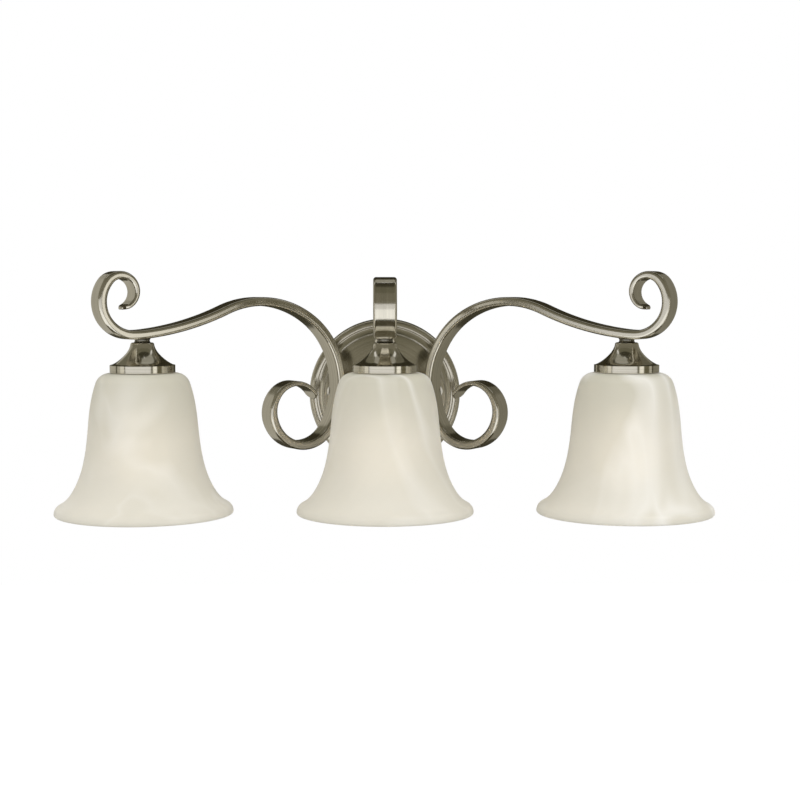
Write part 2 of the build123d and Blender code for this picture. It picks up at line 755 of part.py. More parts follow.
# ---------------------------------------------------------------- the whole light
def light_pieces():
    """The pieces below an arm, about a vertical axis at the origin, by name."""
    return {
        "holder": holder(),
        "holder_tube": holder_tube(),
        "socket_cap": socket_cap(),
        "socket_body": socket_body(),
        "screw_shell": screw_shell(),
        "centre_contact": centre_contact(),
        "retaining_ring": retaining_ring(),
        "shade": shade(),
        "bulb_glass": bulb_glass(),
        "bulb_base": bulb_base(),
        "bulb_insulator": bulb_insulator(),
        "bulb_tip": bulb_tip(),
    }


def vanity_light():
    """Every node of the light by name, each a shape or a list of shapes."""
    left_arm = side_plane() * side_arm()
    right_arm = mirror(left_arm, about=Plane.YZ)
    arms = {"left": left_arm, "centre": centre_plane() * centre_arm(), "right": right_arm}
    nodes = {"canopy": canopy(), "crossbar": crossbar(), "ground_screw": ground_screw()}
    nodes["mounting_studs"] = [crossbar_stud(side * stud_offset) for side in (-1, 1)]
    nodes["stud_nuts"] = [stud_lock_nut(side * stud_offset) for side in (-1, 1)]
    nodes["cap_nuts"] = [cap_nut(side * stud_offset) for side in (-1, 1)]
    nodes["arm_nipples"] = [arm_nipple(x, z) for x, z in boss_places()]
    nodes["arm_washers"] = [seat_washer(x, z) for x, z in boss_places()]
    nodes["arm_nuts"] = [arm_nut(x, z) for x, z in boss_places()]
    for group in ("holder_washers", "holder_nuts", "terminal_screws"):
        nodes[group] = []
    pieces = light_pieces()
    for index, (side, bar) in enumerate(arms.items()):
        axis = Pos((index - 1) * light_spacing, -axis_from_wall, 0)
        x, z = boss_places()[index]
        nodes[f"arm_boss_{side}"] = arm_boss(x, z, bar)
        nodes[f"neck_ring_{side}"] = largest(axis * neck_ring_blank() - bar)
        nodes[f"arm_{side}"] = bar - nipple_hole(x, z) - axis * tube_hole()
        for name, piece in pieces.items():
            nodes[f"{name}_{side}"] = axis * piece
        nodes["holder_washers"].append(axis * lock_washer())
        nodes["holder_nuts"].append(axis * holder_nut())
        nodes["terminal_screws"] += [axis * screw for screw in terminal_screws()]
    return nodes


os.makedirs("parts", exist_ok=True)
for name, shape in vanity_light().items():
    solids = [solid for piece in (shape if isinstance(shape, list) else [shape]) for solid in piece.solids()]
    whole = solids[0] if len(solids) == 1 else Compound(children=solids)
    export_step(whole, f"parts/{name}.step")
    print(f"{name}: {len(solids)} solid(s), {sum(solid.volume for solid in solids):.0f} mm3")
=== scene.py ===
"""A vanity light bar, dressed over its frame: scrolled flat-bar arms, spun metal and cloudy glass bells."""

import logging
import math
from abc import ABC, abstractmethod
from dataclasses import dataclass, field
from enum import Enum
from functools import lru_cache
from typing import Callable

import bmesh
import bpy
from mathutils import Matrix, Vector


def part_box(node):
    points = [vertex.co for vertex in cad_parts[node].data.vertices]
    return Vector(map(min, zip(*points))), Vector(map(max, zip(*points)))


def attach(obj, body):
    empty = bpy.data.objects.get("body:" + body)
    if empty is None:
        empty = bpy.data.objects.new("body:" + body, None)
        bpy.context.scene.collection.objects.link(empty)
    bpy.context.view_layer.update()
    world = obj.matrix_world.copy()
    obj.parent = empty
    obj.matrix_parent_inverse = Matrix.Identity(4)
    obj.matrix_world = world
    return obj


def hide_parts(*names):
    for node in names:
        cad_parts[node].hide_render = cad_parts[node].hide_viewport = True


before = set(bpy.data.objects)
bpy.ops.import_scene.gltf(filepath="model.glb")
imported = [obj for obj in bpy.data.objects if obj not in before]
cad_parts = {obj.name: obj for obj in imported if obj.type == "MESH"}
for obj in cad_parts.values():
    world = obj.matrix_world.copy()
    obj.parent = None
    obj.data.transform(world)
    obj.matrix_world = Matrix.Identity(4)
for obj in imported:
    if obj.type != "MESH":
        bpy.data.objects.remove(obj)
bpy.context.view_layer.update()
LOG = logging.getLogger("vanity_light")
SIDES = ("left", "centre", "right")
MM = 0.001
NO_LENGTH = 1e-7                # metres; anything shorter counts as nothing
SETTLING_ROUNDS = 40            # rounds that settle the headings of a smooth curve
NO_CORNER = math.radians(89)    # half a corner's angle, from which it needs no rounding
CORNER_SHARE = 0.49             # most of each neighbouring run that a rounding may take
CORNER_STEPS = 5                # pieces of a rounded corner
LAMP_PITCH = 3.63 * MM          # pitch of a medium lamp base's thread
LAMP_STEPS = 96                 # points round such a thread

Point = tuple[float, float]
Triple = tuple[float, float, float]
Piece = bpy.types.Object


# ------------------------------------------------------------------ outlines
def arc_points(centre: Point, radius: float, start: float, end: float, steps: int = 12) -> list[Point]:
    """Points on a round stretch of an outline.

    Args:
        centre: The arc's centre.
        radius: Its radius.
        start: Angle of the first point, in degrees.
        end: Angle of the last point, in degrees.
        steps: How many pieces the arc is cut into.

    Returns:
        The points, both ends included.
    """
    angles = [math.radians(start + (end - start) * k / steps) for k in range(steps + 1)]
    return [(centre[0] + radius * math.cos(a), centre[1] + radius * math.sin(a)) for a in angles]


def three_point_arc(first: Point, middle: Point, last: Point, steps: int = 24) -> list[Point]:
    """Points on the circle through three points, from the first to the last.

    Args:
        first: Where the arc starts.
        middle: A point on the way.
        last: Where it ends.
        steps: How many pieces the arc is cut into.

    Returns:
        The points, both ends included.
    """
    (ax, ay), (bx, by), (cx, cy) = first, middle, last
    twice = 2 * (ax * (by - cy) + bx * (cy - ay) + cx * (ay - by))
    aa, bb, cc = ax * ax + ay * ay, bx * bx + by * by, cx * cx + cy * cy
    ux = (aa * (by - cy) + bb * (cy - ay) + cc * (ay - by)) / twice
    uy = (aa * (cx - bx) + bb * (ax - cx) + cc * (bx - ax)) / twice
    angles = [math.degrees(math.atan2(y - uy, x - ux)) for x, y in (first, middle, last)]
    turn = (angles[2] - angles[0]) % 360
    if (angles[1] - angles[0]) % 360 > turn:
        turn -= 360
    return arc_points((ux, uy), math.hypot(ax - ux, ay - uy), angles[0], angles[0] + turn, steps)


def smooth_curve(points: list[Point], first: Point, last: Point, steps: int = 16) -> list[Point]:
    """A smooth curve through a few points, with given headings at both ends and no kink in its bend.

    Args:
        points: The points that the curve passes.
        first: Heading at the first point.
        last: Heading at the last point.
        steps: Pieces between each two points.

    Returns:
        The dense points, both ends included.
    """
    places = [Vector(point) for point in points]
    spans = [(b - a).length for a, b in zip(places[:-1], places[1:])]
    heads = [Vector(first).normalized(), *[Vector((0.0, 0.0)) for _ in places[2:]], Vector(last).normalized()]
    for _ in range(SETTLING_ROUNDS):
        for i in range(1, len(places) - 1):
            before, after = spans[i - 1], spans[i]
            pull = (places[i] - places[i - 1]) * (after / before)
            pull += (places[i + 1] - places[i]) * (before / after)
            heads[i] = (3 * pull - heads[i - 1] * after - heads[i + 1] * before) / (2 * (before + after))
    dense: list[Point] = [points[0]]
    for i, span in enumerate(spans):
        for k in range(1, steps + 1):
            t = k / steps
            place = (2 * t ** 3 - 3 * t ** 2 + 1) * places[i] + (t ** 3 - 2 * t ** 2 + t) * span * heads[i]
            place += (3 * t ** 2 - 2 * t ** 3) * places[i + 1] + (t ** 3 - t ** 2) * span * heads[i + 1]
            dense.append((place.x, place.y))
    return dense


def heading(degrees: float) -> Point:
    """A unit heading at an angle from level."""
    return math.cos(math.radians(degrees)), math.sin(math.radians(degrees))


def filleted(corners: list[Triple], closed: bool = True) -> list[Point]:
    """A polyline whose corners are rounded.

    Args:
        corners: Each corner as (x, y, radius); a radius of 0 keeps it sharp.
        closed: Whether the last corner runs on to the first.

    Returns:
        The points of the rounded outline.
    """
    points: list[Point] = []
    count = len(corners)
    for i, (x, y, radius) in enumerate(corners):
        here = Vector((x, y))
        back = Vector(corners[i - 1][:2]) - here
        ahead = Vector(corners[(i + 1) % count][:2]) - here
        ends = not closed and i in (0, count - 1)
        if radius <= 0 or ends or min(back.length, ahead.length) < NO_LENGTH:
            points.append((x, y))
            continue
        half = back.angle(ahead) / 2
        if half > NO_CORNER:
            points.append((x, y))
            continue
        reach = min(radius / math.tan(half), CORNER_SHARE * back.length, CORNER_SHARE * ahead.length)
        true_radius = reach * math.tan(half)
        middle = (back.normalized() + ahead.normalized()).normalized() * (true_radius / math.sin(half))
        centre = here + middle
        start = here + back.normalized() * reach
        end = here + ahead.normalized() * reach
        on_arc = centre - middle.normalized() * true_radius
        points += three_point_arc(tuple(start), tuple(on_arc), tuple(end), CORNER_STEPS)
    return points


def ring_of(axis: Vector, height: float, steps: int, radius_at: Callable[[float], float]) -> list[Vector]:
    """A ring of points about a vertical axis, whose radius may change on the way round.

    Args:
        axis: The axis's point at height zero.
        height: Height of the ring.
        steps: How many points it has.
        radius_at: Gives the radius at a share of the turn.

    Returns:
        The points.
    """
    ring = []
    for k in range(steps):
        turn, radius = 2 * math.pi * k / steps, radius_at(k / steps)
        ring.append(axis + Vector((radius * math.cos(turn), radius * math.sin(turn), height)))
    return ring


def rolled_ring(axis: Vector, height: float, crest: float, depth: float, turns: float) -> list[Vector]:
    """A ring of a lamp base's rolled thread.

    Args:
        axis: The axis's point at height zero.
        height: Height of the ring.
        crest: The thread's radius on its crest.
        depth: Its depth.
        turns: How many turns it has run up to here.

    Returns:
        The points.
    """
    return ring_of(axis, height, LAMP_STEPS,
                   lambda share: crest - depth * (0.5 - 0.5 * math.cos(2 * math.pi * (turns - share))))


# ------------------------------------------------------------------ meshes
class RunsAlong(Enum):
    """Which way a surface's brushing runs: from row to row, or round with its columns."""

    ROWS = "rows"
    COLUMNS = "columns"


@dataclass
class Skin:
    """A closed surface made of rows of points, each row going once round.

    Attributes:
        name: The piece's name.
        rows: The rows; a row of one point is a pole.
        closed: Whether the last row joins the first.
        sharp: Edges that turn more than this many degrees stay crisp.
    """

    name: str
    rows: list[list[Vector]]
    closed: bool = False
    sharp: float = 40.0

    def build(self) -> Piece:
        """Makes the mesh object, with a map of run lengths for grain.

        Returns:
            The new object, linked to the scene.
        """
        vertices: list[Vector] = []
        starts: list[int] = []
        for row in self.rows:
            starts.append(len(vertices))
            vertices += row
        runs = self._row_runs()
        faces: list[tuple[int, ...]] = []
        places: list[list[Point]] = []
        count = len(self.rows)
        for i in range(count if self.closed else count - 1):
            j = (i + 1) % count
            self._stitch(i, j, starts, runs, faces, places)
        mesh = bpy.data.meshes.new(self.name)
        mesh.from_pydata([tuple(v) for v in vertices], [], faces)
        layer = mesh.uv_layers.new(name="run")
        flat = [value for corners in places for corner in corners for value in corner]
        layer.data.foreach_set("uv", flat)
        mesh.validate()
        piece = bpy.data.objects.new(self.name, mesh)
        bpy.context.scene.collection.objects.link(piece)
        self._face_outwards(piece)
        mesh.shade_smooth()
        mesh.set_sharp_from_angle(angle=math.radians(self.sharp))
        return piece

    def _row_runs(self) -> list[float]:
        """Measures how far the rows run, along the first column.

        Returns:
            Length passed at each row.
        """
        runs = [0.0]
        for a, b in zip(self.rows[:-1], self.rows[1:]):
            runs.append(runs[-1] + (b[0] - a[0]).length)
        return runs

    def _stitch(self, i: int, j: int, starts: list[int], runs: list[float],
                faces: list[tuple[int, ...]], places: list[list[Point]]) -> None:
        """Adds the faces between two rows.

        Args:
            i: First row.
            j: Second row.
            starts: Index of each row's first vertex.
            runs: Length passed at each row.
            faces: The faces so far.
            places: The map's corners for each face so far.
        """
        low, high = self.rows[i], self.rows[j]
        around = max(len(low), len(high))
        if around == 1:
            return
        low_round, high_round = self._lengths_round(low), self._lengths_round(high)
        v0 = runs[i]
        v1 = runs[j] if j > i else v0 + (high[0] - low[0]).length
        for k in range(around):
            n = (k + 1) % around
            if len(low) == 1:
                faces.append((starts[i], starts[j] + n, starts[j] + k))
                places.append([(high_round[k], v0), (high_round[k + 1], v1), (high_round[k], v1)])
            elif len(high) == 1:
                faces.append((starts[i] + k, starts[i] + n, starts[j]))
                places.append([(low_round[k], v0), (low_round[k + 1], v0), (low_round[k], v1)])
            else:
                faces.append((starts[i] + k, starts[i] + n, starts[j] + n, starts[j] + k))
                places.append([(low_round[k], v0), (low_round[k + 1], v0), (high_round[k + 1], v1),
                               (high_round[k], v1)])

    @staticmethod
    def _lengths_round(row: list[Vector]) -> list[float]:
        """Measures a row all the way round.

        Args:
            row: The row's points.

        Returns:
            Length passed at each point, and back at the first one.
        """
        lengths = [0.0]
        for here, ahead in zip(row, row[1:] + row[:1]):
            lengths.append(lengths[-1] + (ahead - here).length)
        return lengths

    @staticmethod
    def _face_outwards(piece: Piece) -> None:
        """Turns every face to look out of the closed surface.

        Args:
            piece: The mesh object.
        """
        work = bmesh.new()
        work.from_mesh(piece.data)
        bmesh.ops.recalc_face_normals(work, faces=work.faces)
        work.to_mesh(piece.data)
        work.free()


class TurnAxis(Enum):
    """The axis that a turned piece is spun about."""

    UP = "up"
    OUT_OF_WALL = "out_of_wall"


@dataclass
class Turned:
    """A piece spun about a vertical axis or about one that stands out of the wall.

    Attributes:
        name: The piece's name.
        outline: Closed outline as (radius, height); height is depth for a piece that leaves the wall.
        centre: A point on the axis.
        axis: Which way the axis runs.
        steps: Facets round the axis.
        sharp: Edges that turn more than this many degrees stay crisp.
    """

    name: str
    outline: list[Point]
    centre: Vector
    axis: TurnAxis = TurnAxis.UP
    steps: int = 144
    sharp: float = 40.0

    def build(self) -> Piece:
        """Spins the outline and makes the mesh object.

        Returns:
            The new object, linked to the scene.
        """
        rows = [self._row(radius, height) for radius, height in self.outline]
        ends_on_axis = len(rows[0]) == 1 and len(rows[-1]) == 1
        return Skin(self.name, rows, closed=not ends_on_axis, sharp=self.sharp).build()

    def _row(self, radius: float, height: float) -> list[Vector]:
        """Spins one point of the outline.

        Args:
            radius: How far it is from the axis.
            height: How far it is along the axis.

        Returns:
            A ring of points, or the one point of a pole.
        """
        if radius < NO_LENGTH:
            return [self._place(0.0, 0.0, height)]
        turns = [2 * math.pi * k / self.steps for k in range(self.steps)]
        return [self._place(radius * math.cos(a), radius * math.sin(a), height) for a in turns]

    def _place(self, a: float, b: float, height: float) -> Vector:
        """Puts a point of the spun outline where the axis stands.

        Args:
            a: Its first distance from the axis, along X.
            b: Its second distance from the axis, square to the first.
            height: How far it is along the axis.

        Returns:
            The point.
        """
        if self.axis is TurnAxis.UP:
            return self.centre + Vector((a, b, height))
        return self.centre + Vector((a, -height, b))


@dataclass
class Thread:
    """A round rod with a cut thread.

    Attributes:
        name: The piece's name.
        centre: Middle of the rod's first end.
        direction: Which way the rod runs, as a unit vector.
        length: The rod's length.
        radius: Radius at the crests.
        depth: Height of the thread.
        pitch: Advance in one turn.
        bore: Radius of a hole through the rod, or 0.
        crest: How far the flanks would rise if no crest cut them off, as a share of the height.
        slope: How steeply they fall from there, in the same shares for half a pitch.
        around: Facets round the rod.
        per_turn: Rows in one turn.
    """

    name: str
    centre: Vector
    direction: Vector
    length: float
    radius: float
    depth: float
    pitch: float
    bore: float = 0.0
    crest: float = 1.25
    slope: float = 1.5
    around: int = 48
    per_turn: int = 12

    def build(self) -> Piece:
        """Makes the threaded rod's mesh object.

        Returns:
            The new object, linked to the scene.
        """
        count = max(4, round(self.length / self.pitch * self.per_turn))
        rows: list[list[Vector]] = []
        for i in range(count + 1):
            along = self.length * i / count
            ease = min(1.0, along / self.pitch, (self.length - along) / self.pitch)
            rows.append(self._ring(along, [
                self.radius - self.depth * (1 - ease * self._height(along / self.pitch - k / self.around))
                for k in range(self.around)]))
        if self.bore > 0:
            rows += [self._ring(along, [self.bore] * self.around) for along in (self.length, 0.0)]
            return Skin(self.name, rows, closed=True, sharp=50).build()
        rows = [[self.centre], *rows, [self.centre + self.direction * self.length]]
        return Skin(self.name, rows, sharp=50).build()

    def _ring(self, along: float, radii: list[float]) -> list[Vector]:
        """Places the points of one row.

        Args:
            along: The row's distance from the rod's first end.
            radii: Each point's radius, evenly spaced round the rod.

        Returns:
            The points.
        """
        side = self.direction.orthogonal().normalized()
        other = self.direction.cross(side)
        turns = [2 * math.pi * k / self.around for k in range(self.around)]
        return [self.centre + self.direction * along +
                (side * (radius * math.cos(turn)) + other * (radius * math.sin(turn)))
                for radius, turn in zip(radii, turns)]

    def _height(self, turns: float) -> float:
        """Share of the thread's height at a number of turns, 1 on a crest and 0 in a root."""
        return max(0.0, min(1.0, self.crest - abs(2 * (turns % 1.0) - 1) * self.slope))


# ------------------------------------------------------------------ finishes
Colour = Triple
NodeSocket = bpy.types.NodeSocket
Material = bpy.types.Material
TONE_RANGE = (0.35, 0.65)       # the values of a noise between which the colour changes
ROUGHNESS_RANGE = (0.3, 0.7)    # and those between which the roughness does


@dataclass
class Shader:
    """A new material's node tree, with short ways to add and join nodes.

    Attributes:
        name: The material's name.
        material: The material.
        tree: Its node tree.
        surface: The tree's principled surface.
    """

    name: str
    material: Material = field(init=False)
    tree: bpy.types.NodeTree = field(init=False)
    surface: bpy.types.Node = field(init=False)

    def __post_init__(self) -> None:
        """Makes the material with one principled surface."""
        self.material = bpy.data.materials.new(self.name)
        self.material.use_nodes = True
        self.tree = self.material.node_tree
        self.surface = self.tree.nodes["Principled BSDF"]

    def node(self, kind: str, **settings: object) -> bpy.types.Node:
        """Adds a node.

        Args:
            kind: The node's type, without its ShaderNode prefix.
            settings: Attributes to set on it.

        Returns:
            The node.
        """
        made = self.tree.nodes.new("ShaderNode" + kind)
        for key, value in settings.items():
            setattr(made, key, value)
        return made

    def join(self, source: NodeSocket, target: NodeSocket) -> None:
        """Links an output to an input."""
        self.tree.links.new(source, target)

    def set(self, **values: object) -> None:
        """Sets numbers and colours straight on the surface's sockets, spaces written as underscores."""
        for key, value in values.items():
            self.surface.inputs[key.replace("_", " ")].default_value = value

    def noise(self, vector: NodeSocket, scale: float, detail: float = 3.0,
              distortion: float = 0.0) -> NodeSocket:
        """Adds a noise texture.

        Args:
            vector: The places that it is read at.
            scale: How fine it is.
            detail: How many finer layers it has.
            distortion: How far its shapes are drawn about.

        Returns:
            Its value.
        """
        texture = self.node("TexNoise")
        texture.inputs["Scale"].default_value = scale
        texture.inputs["Detail"].default_value = detail
        texture.inputs["Distortion"].default_value = distortion
        self.join(vector, texture.inputs["Vector"])
        return texture.outputs["Fac"]

    def stretched(self, vector: NodeSocket, scale: Triple, turn: Triple = (0.0, 0.0, 0.0)) -> NodeSocket:
        """Stretches and turns a map.

        Args:
            vector: The map.
            scale: Its factors along the three axes.
            turn: Its turns about them, in radians.

        Returns:
            The changed map.
        """
        mapping = self.node("Mapping")
        mapping.inputs["Scale"].default_value = scale
        mapping.inputs["Rotation"].default_value = turn
        self.join(vector, mapping.inputs["Vector"])
        return mapping.outputs["Vector"]

    def ranged(self, value: NodeSocket, low: float, high: float, to_low: float, to_high: float) -> NodeSocket:
        """Maps a value from one range to another.

        Args:
            value: The value.
            low: Where its range starts.
            high: Where it ends.
            to_low: Where the new range starts.
            to_high: Where it ends.

        Returns:
            The mapped value.
        """
        remap = self.node("MapRange")
        for key, number in zip(("From Min", "From Max", "To Min", "To Max"), (low, high, to_low, to_high)):
            remap.inputs[key].default_value = number
        self.join(value, remap.inputs["Value"])
        return remap.outputs["Result"]

    def math(self, operation: str, first: NodeSocket, second: NodeSocket | float) -> NodeSocket:
        """Adds a sum.

        Args:
            operation: The name of the sum, as Blender gives it.
            first: First value.
            second: Second value, a socket or a plain number.

        Returns:
            The result.
        """
        made = self.node("Math", operation=operation)
        self.join(first, made.inputs[0])
        if isinstance(second, (int, float)):
            made.inputs[1].default_value = second
        else:
            self.join(second, made.inputs[1])
        return made.outputs[0]

    def weighed(self, first: NodeSocket, second: NodeSocket, share: float) -> NodeSocket:
        """Adds two values up by their shares.

        Args:
            first: First value.
            second: Second value.
            share: The first value's share; the second has the rest.

        Returns:
            The sum.
        """
        return self.math("ADD", self.math("MULTIPLY", first, share), self.math("MULTIPLY", second, 1 - share))

    def blend(self, share: NodeSocket, first: Colour | NodeSocket, second: Colour) -> NodeSocket:
        """Mixes two colours.

        Args:
            share: Share of the second colour.
            first: First colour, plain or a socket.
            second: Second colour.

        Returns:
            The mixed colour.
        """
        mixed = self.node("Mix", data_type="RGBA")
        share_in, first_in, second_in = (mixed.inputs[k] for k in (0, 6, 7))
        self.join(share, share_in)
        if isinstance(first, tuple):
            first_in.default_value = (*first, 1)
        else:
            self.join(first, first_in)
        second_in.default_value = (*second, 1)
        return mixed.outputs[2]

    def tint(self, value: NodeSocket, colour: Colour, tones: Point) -> None:
        """Colours the surface, darker and lighter by a value.

        Args:
            value: The value, a noise's.
            colour: The colour.
            tones: Factors of the colour at low and at high values.
        """
        share = self.ranged(value, *TONE_RANGE, 0.0, 1.0)
        tinted = self.blend(share, shade_of(colour, tones[0]), shade_of(colour, tones[1]))
        self.join(tinted, self.surface.inputs["Base Color"])

    def roughen(self, value: NodeSocket, low: float, high: float) -> None:
        """Gives the surface a roughness that changes by a value.

        Args:
            value: The value, a noise's.
            low: Roughness at low values.
            high: Roughness at high values.
        """
        self.join(self.ranged(value, *ROUGHNESS_RANGE, low, high), self.surface.inputs["Roughness"])

    def bump(self, height: NodeSocket, distance: float) -> None:
        """Raises the surface.

        Args:
            height: Where it is raised, from 0 to 1.
            distance: How far, in metres.
        """
        raised = self.node("Bump")
        raised.inputs["Strength"].default_value = 1.0
        raised.inputs["Distance"].default_value = distance
        self.join(height, raised.inputs["Height"])
        self.join(raised.outputs["Normal"], self.surface.inputs["Normal"])


def shade_of(colour: Colour, factor: float) -> Colour:
    """A colour made lighter or darker by a factor."""
    return tuple(min(1.0, channel * factor) for channel in colour)


@dataclass(frozen=True)
class Finish(ABC):
    """What every finish has.

    Attributes:
        name: The finish's name.
        colour: Its colour, linear.
    """

    name: str
    colour: Colour

    @abstractmethod
    def fill(self, shader: Shader) -> None:
        """Adds the finish to a new material.

        Args:
            shader: The material's shader.
        """

    def build(self) -> Material:
        """Makes the material.

        Returns:
            The material.
        """
        shader = Shader(self.name)
        self.fill(shader)
        return shader.material


@dataclass(frozen=True)
class BrushedMetal(Finish):
    """Satin metal with fine brushing that follows a surface's run map.

    Attributes:
        roughness: Middle of its roughness.
        along: Which way the brushing runs on the piece.
        stretch: How far highlights stretch across the brushing.
        depth: Depth of the brush marks, in metres.
        across_scale: Fineness of the brush marks across their run.
        along_scale: Fineness along it.
        coarser: How many times coarser the streaks between them are.
        cloud_scale: Fineness of the wear's patches.
        streak_share: The streaks' share in the wear; the patches have the rest.
        mark_share: The marks' share in the roughness; the wear has the rest.
        tones: Factors of the colour where the metal is darkest and lightest.
        gloss: Factors of the roughness where it is smoothest and roughest.
    """

    roughness: float
    along: RunsAlong
    stretch: float = 0.5
    depth: float = 3e-6
    across_scale: float = 2600.0
    along_scale: float = 45.0
    coarser: float = 6.0
    cloud_scale: float = 28.0
    streak_share: float = 0.7
    mark_share: float = 0.5
    tones: Point = (0.88, 1.07)
    gloss: Point = (0.8, 1.25)

    def fill(self, shader: Shader) -> None:
        """Adds the finish to a new material.

        Args:
            shader: The material's shader.
        """
        run = shader.node("UVMap", uv_map="run").outputs["UV"]
        by_rows = self.along is RunsAlong.ROWS
        across, along = self.across_scale, self.along_scale
        fine = (across, along, 1.0) if by_rows else (along, across, 1.0)
        coarse = tuple(number / self.coarser for number in fine)
        marks = shader.noise(shader.stretched(run, fine), 1.0, 3.0)
        streaks = shader.noise(shader.stretched(run, coarse), 1.0, 2.0)
        cloud = shader.noise(shader.node("TexCoord").outputs["Object"], self.cloud_scale, 4.0, 0.6)
        worn = shader.weighed(streaks, cloud, self.streak_share)
        shader.tint(worn, self.colour, self.tones)
        shader.roughen(shader.weighed(marks, worn, self.mark_share), self.roughness * self.gloss[0],
                       self.roughness * self.gloss[1])
        shader.set(Metallic=1.0, Anisotropic=self.stretch, Anisotropic_Rotation=0.0 if by_rows else 0.25)
        tangent = shader.node("Tangent", direction_type="UV_MAP", uv_map="run")
        shader.join(tangent.outputs["Tangent"], shader.surface.inputs["Tangent"])
        shader.bump(marks, self.depth)


@dataclass(frozen=True)
class PlainMetal(Finish):
    """Metal without a run of brushing, for plated and turned hardware.

    Attributes:
        roughness: Middle of its roughness.
        mottle: How far the colour varies from place to place.
        metallic: 1 for bare metal, 0 for a coat.
        cloud_scale: Fineness of its patches.
        grain_scale: Fineness of its grain.
        grain_depth: Depth of the grain, in metres.
        gloss: Factors of the roughness where it is smoothest and roughest.
    """

    roughness: float
    mottle: float = 0.08
    metallic: float = 1.0
    cloud_scale: float = 90.0
    grain_scale: float = 1400.0
    grain_depth: float = 4e-6
    gloss: Point = (0.75, 1.3)

    def fill(self, shader: Shader) -> None:
        """Adds the finish to a new material.

        Args:
            shader: The material's shader.
        """
        place = shader.node("TexCoord").outputs["Object"]
        cloud = shader.noise(place, self.cloud_scale, 5.0, 0.4)
        grains = shader.noise(place, self.grain_scale, 3.0)
        shader.tint(cloud, self.colour, (1 - self.mottle, 1 + self.mottle))
        shader.roughen(cloud, self.roughness * self.gloss[0], self.roughness * self.gloss[1])
        shader.set(Metallic=self.metallic)
        shader.bump(grains, self.grain_depth)


@dataclass(frozen=True)
class CloudyGlass(Finish):
    """Alabaster-like glass: milky, satin, with soft swirls and a few paler wisps.

    Attributes:
        deep: The colour near the top, linear: the glass's deeper tone there together with painted shade on
            the upper bell.
        wisp: The colour of the wisps, linear.
        top: Height at which the deep colour is reached, in metres.
        fade: Height below which it has gone, in metres.
        top_tone_and_shade_share: Share of the deep colour, tone and painted shade, at the top.
        cloud_scale: Fineness of the body's clouding.
        cloud_range: The values of the clouding between which it shows.
        cloud_share: The most that it adds to the deep colour.
        wisp_share: How strongly the wisps show.
        wisp_scale: How coarsely they swirl.
        wisp_stretch: Factors that draw the swirls out, upwards.
        wisp_turn: How the drawn swirls lean, in radians.
        wisp_width: How far from a swirl's middle value a wisp has gone.
        patch_scale: Fineness of the patches that have more wisps or fewer.
        patch_range: The values of the patches between which the wisps change.
        thinnest: The wisps' share where they are thinnest.
        clear: Share of light that passes straight through.
        bend: The glass's index of refraction.
        shine: Level of its surface reflections.
        gloss: Its roughness where it is smoothest and roughest.
        ripple_scale: Fineness of the surface's ripples.
        ripple_depth: Depth of the ripples, in metres.
    """

    deep: Colour
    wisp: Colour
    top: float
    fade: float
    top_tone_and_shade_share: float = 0.9
    cloud_scale: float = 13.0
    cloud_range: Point = (0.42, 0.62)
    cloud_share: float = 0.16
    wisp_share: float = 0.72
    wisp_scale: float = 10.0
    wisp_stretch: Triple = (1.0, 1.0, 0.5)
    wisp_turn: Triple = (0.35, 0.6, 0.0)
    wisp_width: float = 0.085
    patch_scale: float = 7.0
    patch_range: Point = (0.4, 0.6)
    thinnest: float = 0.25
    clear: float = 0.18
    bend: float = 1.25
    shine: float = 0.2
    gloss: Point = (0.5, 0.62)
    ripple_scale: float = 220.0
    ripple_depth: float = 1.2e-5

    def fill(self, shader: Shader) -> None:
        """Adds the finish to a new material.

        Args:
            shader: The material's shader.
        """
        place = shader.node("TexCoord").outputs["Object"]
        # The bell darkens towards its top: its own deeper tone there with painted shade on the upper bell.
        rise = self._rise(shader, place)
        cloud = shader.noise(place, self.cloud_scale, 3.0, 0.8)
        depth = shader.math("ADD", shader.math("MULTIPLY", rise, self.top_tone_and_shade_share),
                            shader.ranged(cloud, *self.cloud_range, 0.0, self.cloud_share))
        body = shader.blend(depth, self.colour, self.deep)
        wisped = shader.blend(self._wisps(shader, place), body, self.wisp)
        shader.join(wisped, shader.surface.inputs["Base Color"])
        shader.roughen(cloud, *self.gloss)
        shader.set(Transmission_Weight=self.clear, IOR=self.bend, Specular_IOR_Level=self.shine)
        shader.bump(shader.noise(place, self.ripple_scale, 2.0), self.ripple_depth)

    def _rise(self, shader: Shader, place: NodeSocket) -> NodeSocket:
        """Measures how far up the bell a place is.

        Args:
            shader: The material's shader.
            place: The places on the glass.

        Returns:
            0 where the deep colour has gone, 1 at the top.
        """
        split = shader.node("SeparateXYZ")
        shader.join(place, split.inputs[0])
        return shader.ranged(split.outputs["Z"], self.fade, self.top, 0.0, 1.0)

    def _wisps(self, shader: Shader, place: NodeSocket) -> NodeSocket:
        """Draws wisps along the middle value of a leaning swirl, thinner in some patches.

        Args:
            shader: The material's shader.
            place: The places on the glass.

        Returns:
            Share of the wisps' colour.
        """
        drawn = shader.stretched(place, self.wisp_stretch, self.wisp_turn)
        swirl = shader.noise(drawn, self.wisp_scale, 1.6, 1.3)
        off_middle = shader.math("ABSOLUTE", shader.math("SUBTRACT", swirl, 0.5), 0.0)
        soft = shader.ranged(off_middle, 0.0, self.wisp_width, self.wisp_share, 0.0)
        patches = shader.noise(place, self.patch_scale, 1.0, 0.3)
        thinned = shader.ranged(patches, *self.patch_range, self.thinnest, 1.0)
        return shader.math("MULTIPLY", soft, thinned)


